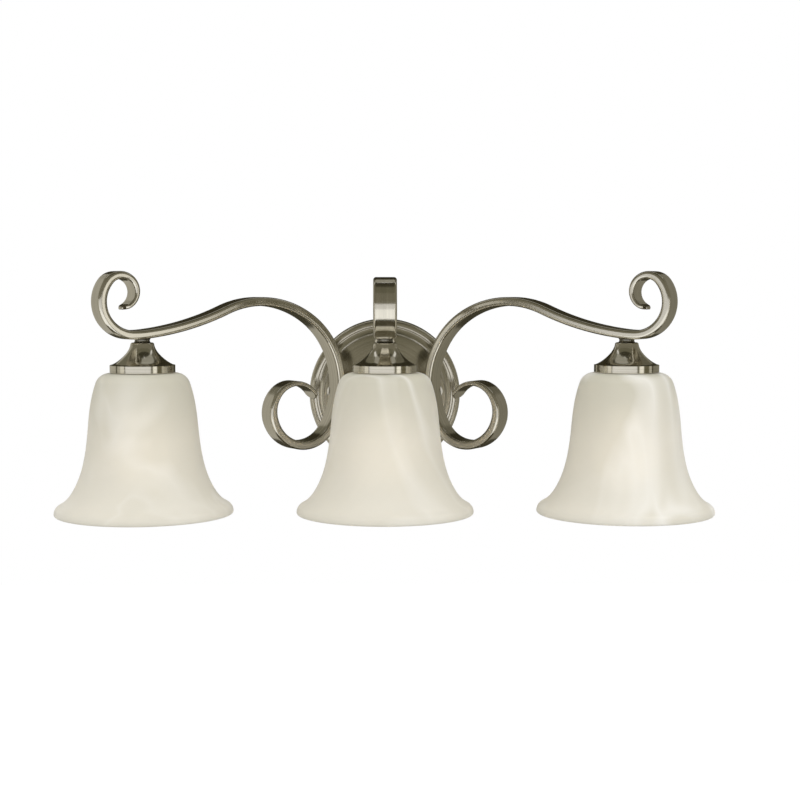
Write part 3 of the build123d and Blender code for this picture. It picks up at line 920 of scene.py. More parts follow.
@dataclass(frozen=True)
class Glazed(Finish):
    """A coat or glaze: porcelain, lamp glass, enamel.

    Attributes:
        roughness: Its roughness.
        glow: Strength of its own light.
        glow_colour: Colour of that light, linear.
        cloud_scale: Fineness of its patches.
        tones: Factors of the colour where the patches are darkest and lightest.
        gloss: Factors of the roughness where it is smoothest and roughest.
        ripple_scale: Fineness of the surface's ripples.
        ripple_depth: Depth of the ripples, in metres.
    """

    roughness: float
    glow: float = 0.0
    glow_colour: Colour = (1.0, 1.0, 1.0)
    cloud_scale: float = 60.0
    tones: Point = (0.95, 1.03)
    gloss: Point = (0.8, 1.2)
    ripple_scale: float = 900.0
    ripple_depth: float = 3e-6

    def fill(self, shader: Shader) -> None:
        """Adds the finish to a new material.

        Args:
            shader: The material's shader.
        """
        place = shader.node("TexCoord").outputs["Object"]
        cloud = shader.noise(place, self.cloud_scale, 4.0, 0.5)
        shader.tint(cloud, self.colour, self.tones)
        shader.roughen(cloud, self.roughness * self.gloss[0], self.roughness * self.gloss[1])
        shader.set(Emission_Color=(*self.glow_colour, 1), Emission_Strength=self.glow)
        shader.bump(shader.noise(place, self.ripple_scale, 2.0), self.ripple_depth)


NICKEL = (0.58, 0.55, 0.475)


@dataclass
class Palette:
    """Every finish of the light, made once.

    Attributes:
        fade_share: Share of a bell's height, from its top, over which the deep colour, tone and painted
            shade, goes.
        bar: Brushed nickel of the arms.
        spun: Spun nickel of the holders and ball nuts.
        pan: Spun nickel of the canopy.
        polished: Polished nickel of the bosses.
        neck_shade_nickel: Polished nickel of the neck rings, darkened to a painted shade and dark reflection.
        zinc: Zinc plate of the hidden hardware.
        brass: Brass of contacts, shells and screws.
        green: Green coat of the ground screw.
        alabaster: Cloudy glass of the bells.
        porcelain: Porcelain of sockets and rings.
        lamp_glass: Frosted glass of the bulbs, lit.
        lamp_metal: Metal of the bulbs' bases.
        black_glass: Black glass of the bulbs' insulators.
    """

    fade_share: float = 0.45
    bar: Material = field(init=False)
    spun: Material = field(init=False)
    pan: Material = field(init=False)
    polished: Material = field(init=False)
    neck_shade_nickel: Material = field(init=False)
    zinc: Material = field(init=False)
    brass: Material = field(init=False)
    green: Material = field(init=False)
    alabaster: Material = field(init=False)
    porcelain: Material = field(init=False)
    lamp_glass: Material = field(init=False)
    lamp_metal: Material = field(init=False)
    black_glass: Material = field(init=False)

    def __post_init__(self) -> None:
        """Makes the materials."""
        low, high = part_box("shade_centre")
        self.bar = BrushedMetal("brushed_bar_nickel", NICKEL, roughness=0.15, along=RunsAlong.ROWS,
                                stretch=0.1, depth=4e-7).build()
        self.spun = BrushedMetal("spun_nickel", shade_of(NICKEL, 1.06), roughness=0.13,
                                 along=RunsAlong.COLUMNS, stretch=0.4, depth=8e-7).build()
        self.pan = BrushedMetal("spun_pan_nickel", shade_of(NICKEL, 1.1), roughness=0.2,
                                along=RunsAlong.COLUMNS, stretch=0.6, depth=5e-7).build()
        self.polished = PlainMetal("polished_nickel", shade_of(NICKEL, 0.85), roughness=0.16).build()
        # Nickel at a third of its colour: painted shade and dark reflection for the neck rings in their
        # narrow gap.
        self.neck_shade_nickel = PlainMetal("painted_shade_neck_nickel", shade_of(NICKEL, 0.3), roughness=0.14).build()
        self.zinc = PlainMetal("zinc_plate", (0.55, 0.57, 0.60), roughness=0.36, mottle=0.12).build()
        self.brass = PlainMetal("plain_brass", (0.62, 0.42, 0.15), roughness=0.32).build()
        self.green = PlainMetal("green_chromate", (0.05, 0.30, 0.12), roughness=0.4, mottle=0.12,
                                metallic=0.6).build()
        # The bells' deep colour near the top holds painted shade as well as the glass's own tone.
        self.alabaster = CloudyGlass("cloudy_glass", colour=(0.81, 0.765, 0.66), deep=(0.665, 0.63, 0.515),
                                     wisp=(0.97, 0.94, 0.875), top=high.z,
                                     fade=high.z - self.fade_share * (high.z - low.z)).build()
        self.porcelain = Glazed("white_porcelain", (0.80, 0.79, 0.74), roughness=0.22).build()
        self.lamp_glass = Glazed("frosted_lamp_glass", (0.9, 0.88, 0.82), roughness=0.35, glow=2.5,
                                 glow_colour=(1.0, 0.88, 0.74)).build()
        self.lamp_metal = PlainMetal("lamp_base_metal", (0.66, 0.66, 0.65), roughness=0.3).build()
        self.black_glass = Glazed("black_lamp_glass", (0.012, 0.011, 0.011), roughness=0.15).build()


def dress(piece: Piece, finish: Material, slot: str, body: str, *nodes: str) -> Piece:
    """Gives a new piece its finish, its body and the nodes that it stands for.

    Args:
        piece: The new mesh object.
        finish: Its material.
        slot: The record's slot for its finish; not used.
        body: The body that it rides on.
        nodes: The nodes that it replaces.

    Returns:
        The piece.
    """
    piece.data.materials.append(finish)
    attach(piece, body)
    if nodes:
        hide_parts(*nodes)
    LOG.info("%s rides on %s", piece.name, body)
    return piece


# ------------------------------------------------------------------ arms
Arc = tuple[float, float]       # an arc's radius, and its turn in degrees
Arcs = tuple[Arc, ...]
Place = tuple[Vector, float]    # a place in an arm's plane, and the heading there
ToRow = Callable[[float, float, float], Vector]
END_SOFTNESS = 0.3              # radius of a bar end's soft edge, as a share of its thickness
END_TURNS = (25.0, 50.0, 75.0)  # the rings of that edge, in degrees round it


@dataclass
class Station:
    """One section of a bar.

    Attributes:
        place: Where its middle is in the arm's plane.
        heading: Which way the bar runs there, in degrees.
        width: The bar's width there, across the plane.
        thick: Its thickness, in the plane.
    """

    place: Vector
    heading: float
    width: float
    thick: float


@dataclass
class FlatBar:
    """The flat bar that the arms are bent from, in metres.

    Attributes:
        width: Its width.
        thick: Its thickness.
        edge_round: Radius of its edges' rounding.
        edge_share: The most of the bar's own size that the rounding may take.
        edge_crown: Share of the thickness over which an edge is crowned.
        flat_share: Share of the flat between two roundings at which points hold it flat.
        tip: Thickness at the end of a drawn-out tail.
        taper: How late the thinning starts; 1 is even.
        nose: Length of the rounded tongue at an end.
        nose_pinch: How far the tongue narrows; 1 is to a point.
        nose_thinning: Share of the thickness that the tongue loses.
        step: Distance between stations.
        foot_steps: How many times closer they are along a foot.
        edge_steps: Steps round one edge's rounding.
    """

    width: float = 21.4 * MM
    thick: float = 8.5 * MM
    edge_round: float = 2.6 * MM
    edge_share: float = 0.42
    edge_crown: float = 0.36
    flat_share: float = 0.12
    tip: float = 3.4 * MM
    taper: float = 1.3
    nose: float = 5.5 * MM
    nose_pinch: float = 0.93
    nose_thinning: float = 0.12
    step: float = 1.1 * MM
    foot_steps: float = 1.5
    edge_steps: int = 7

    def run(self, start: Vector, heading: float, arcs: list[Arc]) -> list[Place]:
        """Follows tangent arcs in the arm's plane.

        Args:
            start: Where the run starts.
            heading: Heading at the start, in degrees.
            arcs: Each arc as (radius in metres, turn in degrees).

        Returns:
            Places and headings along the run, evenly stepped within each arc.
        """
        places = [(start, heading)]
        for radius, turn in arcs:
            side = 1.0 if turn > 0 else -1.0
            across = math.radians(heading + 90 * side)
            centre = start + Vector((math.cos(across), math.sin(across))) * radius
            count = max(4, round(radius * abs(math.radians(turn)) / self.step))
            for k in range(1, count + 1):
                head = heading + turn * k / count
                out = math.radians(head - 90 * side)
                places.append((centre + Vector((math.cos(out), math.sin(out))) * radius, head))
            start, heading = places[-1]
        return places

    def full(self, places: list[Place]) -> list[Station]:
        """Stations at full section."""
        return [Station(place, heading, self.width, self.thick) for place, heading in places]

    def drawn_out(self, places: list[Place]) -> list[Station]:
        """Thins a tail along its run and rounds its end to a tongue.

        Args:
            places: Places and headings along the tail.

        Returns:
            Its stations.
        """
        runs = [0.0]
        for (a, _), (b, _) in zip(places[:-1], places[1:]):
            runs.append(runs[-1] + (b - a).length)
        length = runs[-1]
        stations = []
        for (place, heading), run in zip(places, runs):
            left = 1 - run / length
            thick = self.tip + (self.thick - self.tip) * left ** self.taper
            into = max(0.0, run - (length - self.nose)) / self.nose
            stations.append(Station(place, heading, self._nose_width(into),
                                    thick * (1 - self.nose_thinning * into ** 3)))
        return stations

    def foot(self, top: Vector, end: float) -> list[Station]:
        """Runs a straight foot of full thickness down to a rounded end.

        Args:
            top: Where it starts.
            end: Height of its end.

        Returns:
            Its stations, without the first.
        """
        count = max(6, round((top.y - end) / self.step * self.foot_steps))
        stations = []
        for k in range(1, count + 1):
            height = top.y + (end - top.y) * k / count
            into = max(0.0, end + self.nose - height) / self.nose
            stations.append(Station(Vector((top.x, height)), -90.0, self._nose_width(into), self.thick))
        return stations

    def section(self, width: float, thick: float) -> list[Point]:
        """Draws the bar's section, its edges crowned.

        Args:
            width: The bar's width here.
            thick: Its thickness here.

        Returns:
            The points, as (across the thickness, across the width).
        """
        deep = min(self.edge_round, self.edge_share * thick, self.edge_share * width)
        broad = max(deep, self.edge_crown * thick) if thick < width else deep
        flat = self.flat_share * (thick - 2 * broad)
        side = self.flat_share * (width - 2 * deep)
        points: list[Point] = []
        for quarter, (sx, sy) in enumerate(((1, 1), (-1, 1), (-1, -1), (1, -1))):
            centre = (sx * (thick / 2 - broad), sy * (width / 2 - deep))
            turns = [math.radians(90 * (quarter + k / self.edge_steps)) for k in range(self.edge_steps + 1)]
            arc = [(centre[0] + broad * math.cos(turn), centre[1] + deep * math.sin(turn)) for turn in turns]
            first, last = arc[0], arc[-1]
            if quarter % 2 == 0:
                points += [(first[0], first[1] - sy * side), *arc, (last[0] - sx * flat, last[1])]
            else:
                points += [(first[0] - sx * flat, first[1]), *arc, (last[0], last[1] - sy * side)]
        return points

    def _nose_width(self, into: float) -> float:
        """The bar's width at a share of its rounded tongue."""
        return self.width * math.sqrt(1 - (self.nose_pinch * into) ** 2)


@dataclass
class Arm(ABC):
    """What the three arms share: the bar, and the scroll over the light.

    Attributes:
        side: Which light it is over.
        bar: The bar that it is bent from.
        scale: Scale of its arcs.
        heading: Heading at the neck towards the wall, in degrees above level.
        outward: The scroll's arcs from the neck on, as (radius in millimetres, turn in degrees).
        upper_tail: The arcs of the scroll's drawn-out tail.
    """

    side: str
    bar: FlatBar = field(default_factory=FlatBar)
    scale: float = 1.0
    heading: float = 6.0
    outward: Arcs = ((94.0, -7.5), (30.0, -126.7))
    upper_tail: Arcs = ((15.3, -89.7), (15.0, -134.0))

    @abstractmethod
    def stations(self, neck: float) -> list[Station]:
        """Every station from the scroll's end to the other end of the arm."""

    @abstractmethod
    def place(self, x: float, y: float, across: float) -> Vector:
        """A point of the arm's plane in the row frame."""

    def scroll(self, start: Vector) -> list[Station]:
        """Follows the scroll.

        Args:
            start: The neck, where it starts.

        Returns:
            Its stations, from its end to the last one before the neck.
        """
        outward = self.bar.run(start, self.heading + 180, _metres(self.outward, self.scale))
        tail = self.bar.run(*outward[-1], _metres(self.upper_tail, self.scale))
        up = self.bar.full(outward) + self.bar.drawn_out(tail)[1:]
        for station in up:
            station.heading += 180
        return up[:0:-1]

    def build(self, neck: float) -> Piece:
        """Makes the arm's mesh, with its neck's centreline at a height."""
        return sweep_bar(f"scrolled_arm_{self.side}", self.stations(neck), self.bar, self.place)


@dataclass
class SideArm(Arm):
    """An outer arm: a scroll over its light, a trough, a hump and a curl beside the canopy.

    Attributes:
        scale: Scale of its arcs.
        heading: Heading at the neck towards the wall, in degrees above level.
        angle: Angle of its plane to the wall, in degrees.
        inward: The arcs from the neck to the curl, as (radius in millimetres, turn in degrees).
        lower_tail: The arcs of the curl's drawn-out tail.
    """

    scale: float = 1.00116
    heading: float = 5.8
    angle: float = 32.442
    inward: Arcs = ((280.0, 17.6), (93.7, -58.8), (79.3, -87.2), (34.8, -133.5))
    lower_tail: Arcs = ((28.7, -62.8), (24.8, -108.0))

    def stations(self, neck: float) -> list[Station]:
        """Follows the arm from the upper scroll's end to the lower curl's end.

        Args:
            neck: Height of its centreline over the light.

        Returns:
            Its stations.
        """
        start = Vector((0.0, neck))
        inward = self.bar.run(start, self.heading, _metres(self.inward, self.scale))
        curl = self.bar.run(*inward[-1], _metres(self.lower_tail, self.scale))
        return self.scroll(start) + self.bar.full(inward) + self.bar.drawn_out(curl)[1:]

    def place(self, x: float, y: float, across: float) -> Vector:
        """Puts a point of the arm's plane into the row frame.

        Args:
            x: Distance towards the wall.
            y: Height.
            across: Distance out of the plane, towards the front.

        Returns:
            The point.
        """
        axis = light_axis(self.side)
        sign = 1.0 if self.side == "left" else -1.0
        turn = math.radians(self.angle)
        return axis + Vector((sign * (x * math.cos(turn) + across * math.sin(turn)),
                              x * math.sin(turn) - across * math.cos(turn), y))


@dataclass
class CentreArm(Arm):
    """The middle arm: a smaller scroll in front, a short hump and a straight foot.

    Attributes:
        scale: Scale of its scroll's arcs.
        inward: The arcs from the neck to the hump's top, as (radius in millimetres, turn in degrees).
        back_radius: Radius of the hump's back, in millimetres.
        foot_end: Height of the foot's end, in millimetres.
    """

    scale: float = 0.9
    inward: Arcs = ((52.0, 42.0), (36.4, -93.0))
    back_radius: float = 75.0
    foot_end: float = -14.0

    def stations(self, neck: float) -> list[Station]:
        """Follows the arm from the scroll's end to the foot's end.

        Args:
            neck: Height of its centreline over the light.

        Returns:
            Its stations.
        """
        start = Vector((0.0, neck))
        turned = self.heading + sum(turn for _, turn in self.inward)
        inward = self.bar.run(start, self.heading, _metres((*self.inward, (self.back_radius, -90 - turned))))
        return self.scroll(start) + self.bar.full(inward) + self.bar.foot(inward[-1][0], self.foot_end * MM)

    def place(self, x: float, y: float, across: float) -> Vector:
        """A point of the arm's plane in the row frame, as in the side arms."""
        return light_axis(self.side) + Vector((across, x, y))


def _metres(arcs: Arcs, scale: float = 1.0) -> list[Arc]:
    """Arcs given in millimetres, in metres and scaled."""
    return [(radius * scale * MM, turn) for radius, turn in arcs]


@lru_cache(maxsize=None)
def light_axis(side: str) -> Vector:
    """The point at the wall's height zero on the vertical axis of a light."""
    low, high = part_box(f"holder_{side}")
    return Vector(((low.x + high.x) / 2, (low.y + high.y) / 2, 0.0))


def sweep_bar(name: str, stations: list[Station], bar: FlatBar, place: ToRow) -> Piece:
    """Sweeps a bar's section along its stations and closes both ends with softened edges.

    Args:
        name: The piece's name.
        stations: The sections in order.
        bar: The bar that is swept.
        place: Turns (x, y, across) in the arm's plane into a point of the row frame.

    Returns:
        The mesh object.
    """
    rows = [_bar_ring(station, bar, place) for station in stations]
    for station, first in ((stations[0], True), (stations[-1], False)):
        away = math.radians(station.heading + (180 if first else 0))
        ahead = Vector((math.cos(away), math.sin(away)))
        soft = END_SOFTNESS * station.thick
        for turn in END_TURNS:
            shrink = 2 * soft * (1 - math.cos(math.radians(turn)))
            end = Station(station.place + ahead * soft * math.sin(math.radians(turn)), station.heading,
                          station.width - shrink, station.thick - shrink)
            rows.insert(0 if first else len(rows), _bar_ring(end, bar, place))
        tip = station.place + ahead * soft
        rows.insert(0 if first else len(rows), [place(tip.x, tip.y, 0.0)])
    return Skin(name, rows, sharp=60).build()


def _bar_ring(station: Station, bar: FlatBar, place: ToRow) -> list[Vector]:
    """Places a bar's section at a station.

    Args:
        station: The station.
        bar: The bar.
        place: Turns (x, y, across) in the arm's plane into a point of the row frame.

    Returns:
        The section's ring of points.
    """
    normal = math.radians(station.heading + 90)
    return [place(station.place.x + math.cos(normal) * out, station.place.y + math.sin(normal) * out, across)
            for out, across in bar.section(station.width, station.thick)]


# ------------------------------------------------------------------ wall side
@dataclass
class Canopy:
    """The spun canopy: a rounded rim, a cove between two grooves and a dome, in metres.

    Attributes:
        wall: Thickness of the metal.
        rim_depth: How far the rim's flat stands from the wall.
        rim_round: Radius of its rounding.
        rim_flat: Width of the flat between the rounding and the outer groove.
        cove_width: Width of the cove with one groove.
        dome_base: How far the dome's edge stands from the wall.
        groove: Width and depth of the grooves.
        crease: Radius of the grooves' softened edges.
        back: The rim's last edge before the wall, as (height, rounding) and the rounding at the wall.
    """

    wall: float = 1.0 * MM
    rim_depth: float = 9.0 * MM
    rim_round: float = 6.5 * MM
    rim_flat: float = 0.5 * MM
    cove_width: float = 7.9 * MM
    dome_base: float = 13.2 * MM
    groove: float = 0.8 * MM
    crease: float = 0.22 * MM
    back: Triple = (0.5 * MM, 0.3 * MM, 0.2 * MM)

    def build(self) -> Piece:
        """Makes the canopy as a thin spun shell.

        Returns:
            The mesh object.
        """
        low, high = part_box("canopy")
        radius, depth = (high.x - low.x) / 2, -low.y
        centre = Vector(((low.x + high.x) / 2, 0.0, (low.z + high.z) / 2))
        face = self._outer(radius, depth, 0.0)
        inner = [(max(0.0, r - self.wall), max(0.0, h - self.wall)) for r, h in face]
        outline = self._outer(radius, depth, self.groove) + inner[::-1]
        outline[0] = (0.0, depth)
        outline[-1] = (0.0, depth - self.wall)
        rows = [outline[k] for k in range(len(outline)) if k == 0 or outline[k] != outline[k - 1]]
        return Turned("canopy_pan", rows, centre, TurnAxis.OUT_OF_WALL, steps=240, sharp=50).build()

    def _outer(self, radius: float, depth: float, cut: float) -> list[Point]:
        """The outside from the crown to the wall, as (radius, depth).

        Args:
            radius: The canopy's radius.
            depth: How far the crown stands from the wall.
            cut: Depth of the two grooves, or 0 for the inside of the shell.

        Returns:
            The points.
        """
        step = radius - self.rim_round - self.rim_flat - self.groove
        dome = step - self.cove_width
        rise = depth - self.dome_base
        ball = (dome ** 2 + rise ** 2) / (2 * rise)
        sweep = math.degrees(math.asin(dome / ball))
        points = arc_points((0.0, depth - ball), ball, 90, 90 - sweep, 60)
        points += self._crease(dome, self.dome_base, cut)
        cove_start, cove_end = (dome + self.groove, self.dome_base), (step - self.groove, self.rim_depth)
        slope = math.atan2(cove_end[1] - cove_start[1], cove_end[0] - cove_start[0])
        middle = ((cove_start[0] + cove_end[0]) / 2 + self.groove * math.sin(slope),
                  (cove_start[1] + cove_end[1]) / 2 - self.groove * math.cos(slope))
        points += three_point_arc(cove_start, middle, cove_end, 18)
        points += self._crease(step, self.rim_depth, cut)
        rim = (radius - self.rim_round, self.rim_depth - self.rim_round)
        points += arc_points(rim, self.rim_round, 90, 0, 24)
        height, above, below = self.back
        return points + filleted([(radius, height, above), (radius, 0.0, below)], closed=False)

    def _crease(self, radius: float, depth: float, cut: float) -> list[Point]:
        """Cuts a narrow groove with softened lips.

        Args:
            radius: Where it starts.
            depth: How far its lips stand from the wall.
            cut: Its depth, or 0 where it isn't cut.

        Returns:
            Its points, or none.
        """
        if cut <= 0:
            return []
        soft = self.crease
        return filleted([(radius - 2 * soft, depth, 0), (radius, depth, soft), (radius, depth - cut, soft),
                         (radius + cut, depth, soft), (radius + cut + soft, depth, 0)], closed=False)


@dataclass
class WallFixings:
    """The hardware behind the canopy: studs, nuts, nipples and the strap, in metres.

    Attributes:
        palette: The finishes.
        stud_radius: Radius of the studs' thread.
        stud_depth: Depth of that thread.
        stud_pitch: Its pitch.
        head_depth: Depth of a stud's head.
        head_edge: Radius of the head's edges.
        head_overlap: Share of the head's depth after which the shank starts.
        nut_foot: Radius of a ball nut's foot.
        nipple_bore: Radius of the nipples' bore.
        nipple_depth: Depth of their thread.
        nipple_pitch: Its pitch.
    """

    palette: Palette
    stud_radius: float = 2.0 * MM
    stud_depth: float = 0.25 * MM
    stud_pitch: float = 0.8 * MM
    head_depth: float = 2.4 * MM
    head_edge: float = 0.35 * MM
    head_overlap: float = 0.9
    nut_foot: float = 3.6 * MM
    nipple_bore: float = 2.6 * MM
    nipple_depth: float = 0.3 * MM
    nipple_pitch: float = 0.94 * MM

    def build(self) -> None:
        """Makes the threaded studs and nipples and the ball nuts, and finishes the rest."""
        for index, (low, high) in enumerate(solid_boxes("mounting_studs")):
            self._stud(index + 1, low, high)
        for side, (low, high) in zip(SIDES, solid_boxes("arm_nipples")):
            centre = Vector(((low.x + high.x) / 2, high.y, (low.z + high.z) / 2))
            nipple = Thread(f"arm_nipple_{side}", centre, Vector((0, -1, 0)), high.y - low.y,
                            (high.x - low.x) / 2, self.nipple_depth, self.nipple_pitch,
                            bore=self.nipple_bore).build()
            dress(nipple, self.palette.zinc, "zinc_steel", "root", "arm_nipples")
        for index, (low, high) in enumerate(solid_boxes("cap_nuts")):
            self._ball_nut(index + 1, low, high)
        for node, finish in (("crossbar", self.palette.zinc), ("stud_nuts", self.palette.zinc),
                             ("arm_nuts", self.palette.zinc), ("arm_washers", self.palette.zinc),
                             ("holder_washers", self.palette.zinc), ("holder_nuts", self.palette.zinc),
                             ("ground_screw", self.palette.green), ("terminal_screws", self.palette.brass)):
            finish_node(node, finish)

    def _stud(self, number: int, low: Vector, high: Vector) -> None:
        """Makes one mounting stud: a head behind the strap and a threaded shank.

        Args:
            number: The stud's number.
            low: Lowest corner of its box.
            high: Highest corner.
        """
        centre = Vector(((low.x + high.x) / 2, high.y, (low.z + high.z) / 2))
        radius, depth, edge = (high.x - low.x) / 2, self.head_depth, self.head_edge
        outline = filleted([(0.0, 0.0, 0), (radius, 0.0, edge), (radius, depth, edge), (0.0, depth, 0)],
                           closed=False)
        head = Turned(f"stud_head_{number}", outline, centre, TurnAxis.OUT_OF_WALL, steps=48).build()
        dress(head, self.palette.zinc, "zinc_steel", "root", "mounting_studs")
        start = depth * self.head_overlap
        shank = Thread(f"stud_shank_{number}", centre - Vector((0, start, 0)), Vector((0, -1, 0)),
                       high.y - low.y - start, self.stud_radius, self.stud_depth, self.stud_pitch).build()
        dress(shank, self.palette.zinc, "zinc_steel", "root", "mounting_studs")

    def _ball_nut(self, number: int, low: Vector, high: Vector) -> None:
        """Makes one ball nut on the dome, with a narrow foot.

        Args:
            number: The nut's number.
            low: Lowest corner of its box.
            high: Highest corner.
        """
        ball = (high.x - low.x) / 2
        centre = Vector(((low.x + high.x) / 2, low.y + ball, (low.z + high.z) / 2))
        start = math.degrees(math.acos(self.nut_foot / ball))
        seat = -(high.y - centre.y)
        outline = [(0.0, seat), (self.nut_foot, seat)]
        outline += arc_points((0.0, 0.0), ball, -start, 90, 40)
        nut = Turned(f"ball_nut_{number}", outline, centre, TurnAxis.OUT_OF_WALL, steps=64).build()
        dress(nut, self.palette.spun, "brushed_nickel", "root", "cap_nuts")


def solid_boxes(node: str) -> list[tuple[Vector, Vector]]:
    """The boxes of a node's separate solids, from left to right.

    Args:
        node: The node's name.

    Returns:
        Lowest and highest corner of each solid.
    """
    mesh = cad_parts[node].data
    group = list(range(len(mesh.vertices)))

    def root(i: int) -> int:
        """Finds the vertex that stands for a vertex's whole solid.

        Args:
            i: Index of the vertex.

        Returns:
            Index of the one that stands for the solid.
        """
        while group[i] != i:
            group[i] = group[group[i]]
            i = group[i]
        return i

    seen: dict[tuple, int] = {}
    for vertex in mesh.vertices:
        key = tuple(round(c, 6) for c in vertex.co)
        group[root(vertex.index)] = root(seen.setdefault(key, vertex.index))
    for edge in mesh.edges:
        group[root(edge.vertices[0])] = root(edge.vertices[1])
    boxes: dict[int, list[Vector]] = {}
    for vertex in mesh.vertices:
        boxes.setdefault(root(vertex.index), []).append(vertex.co)
    corners = []
    for points in boxes.values():
        corners.append((Vector([min(p[k] for p in points) for k in range(3)]),
                        Vector([max(p[k] for p in points) for k in range(3)])))
    return sorted(corners, key=lambda pair: pair[0].x)


def finish_node(node: str, finish: Material) -> None:
    """Gives a node that keeps its own solid a better finish.

    Args:
        node: The node's name.
        finish: The material.
    """
    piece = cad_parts[node]
    piece.data.materials.clear()
    piece.data.materials.append(finish)
    LOG.info("%s keeps its solid", node)


# ------------------------------------------------------------------ lights
@dataclass
class LightPart:
    """A part of one light.

    Attributes:
        side: Which light it is part of.
        palette: The finishes.
    """

    side: str
    palette: Palette


@dataclass
class Holder(LightPart):
    """The spun holder of one light, with the waisted ring above it, in metres.

    Attributes:
        wall: Thickness of the metal.
        hole: Radius of the hole in its top.
        top_radius: Radius of its top.
        shoulder: Radius of the top's rounding.
        flare_share: How far out the flare's middle is, as a share of its width.
        flare_rise: How high up it is, as a share of its height.
        flare_start: Heading of the flare at its top, in degrees.
        flare_finish: Heading at its foot.
        ledge: Width of the ledge over the band.
        band_height: Height of the band.
        band_edge: Radius of the band's edges.
        neck_radius: Radius of the neck ring.
        neck_waist: Depth of its waist.
        neck_height: Its height.
        neck_edge: Width of its lower edge.
    """

    wall: float = 1.0 * MM
    hole: float = 5.0 * MM
    top_radius: float = 10.8 * MM
    shoulder: float = 1.8 * MM
    flare_share: float = 0.48
    flare_rise: float = 0.27
    flare_start: float = -80.0
    flare_finish: float = -17.0
    ledge: float = 0.5 * MM
    band_height: float = 7.0 * MM
    band_edge: float = 0.4 * MM
    neck_radius: float = 7.6 * MM
    neck_waist: float = 0.7 * MM
    neck_height: float = 3.5 * MM
    neck_edge: float = 0.3 * MM

    def build(self) -> None:
        """Makes the holder and its neck ring."""
        low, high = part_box(f"holder_{self.side}")
        radius = (high.x - low.x) / 2
        outer, inner = [self._side(radius, low.z, high.z, inset) for inset in (0.0, self.wall)]
        cup = Turned(f"holder_cup_{self.side}", outer + inner[::-1], light_axis(self.side), steps=160,
                     sharp=32).build()
        dress(cup, self.palette.spun, "brushed_nickel", "root", f"holder_{self.side}")
        ring_low, ring_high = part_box(f"neck_ring_{self.side}")
        bottom = ring_low.z
        waist = (self.neck_radius - self.neck_waist, bottom + self.neck_height / 2)
        outline = [(self.hole, bottom), (self.neck_radius - self.neck_edge, bottom)]
        outline += three_point_arc((self.neck_radius, bottom + self.neck_edge), waist,
                                   (self.neck_radius, bottom + self.neck_height), 12)
        outline += [(self.neck_radius, ring_high.z), (self.hole, ring_high.z)]
        ring = Turned(f"neck_spacer_{self.side}", outline, light_axis(self.side), steps=64, sharp=50).build()
        # The ring's near-black is painted shade and dark reflection, not a darker metal.
        dress(ring, self.palette.neck_shade_nickel, "polished_nickel", "root", f"neck_ring_{self.side}")

    def _side(self, radius: float, low: float, high: float, inset: float) -> list[Point]:
        """One face of the cup, from the hole in its top to the band's lower edge.

        Args:
            radius: The band's outer radius.
            low: Height of the band's lower edge.
            high: Height of the cup's top.
            inset: How far the face lies inside the outer one.

        Returns:
            The points.
        """
        band_top, top = low + self.band_height, high - inset
        lean = inset * math.sqrt(0.5)
        shoulder = (self.top_radius - inset, high - self.shoulder)
        station = (self.top_radius + self.flare_share * (radius - self.top_radius) - lean,
                   band_top + self.flare_rise * (high - band_top) - lean)
        foot = (radius - inset - self.ledge, band_top - inset)
        edge = self.band_edge
        points = [(self.hole, top)]
        points += arc_points((shoulder[0] - self.shoulder, top - self.shoulder), self.shoulder, 90, 0, 8)
        points += smooth_curve([(shoulder[0], top - self.shoulder), station, foot], heading(self.flare_start),
                               heading(self.flare_finish), 26)[1:]
        points += filleted([(radius - inset - edge / 2, foot[1], 0), (radius - inset, foot[1], edge),
                            (radius - inset, foot[1] - 2 * edge, 0)], closed=False)
        if inset > 0:
            return points + [(radius - inset, low + edge / 2), (radius - inset + edge / 2, low)]
        return points + [(radius, low + 2 * edge), (radius, low + edge), (radius - edge / 2, low)]


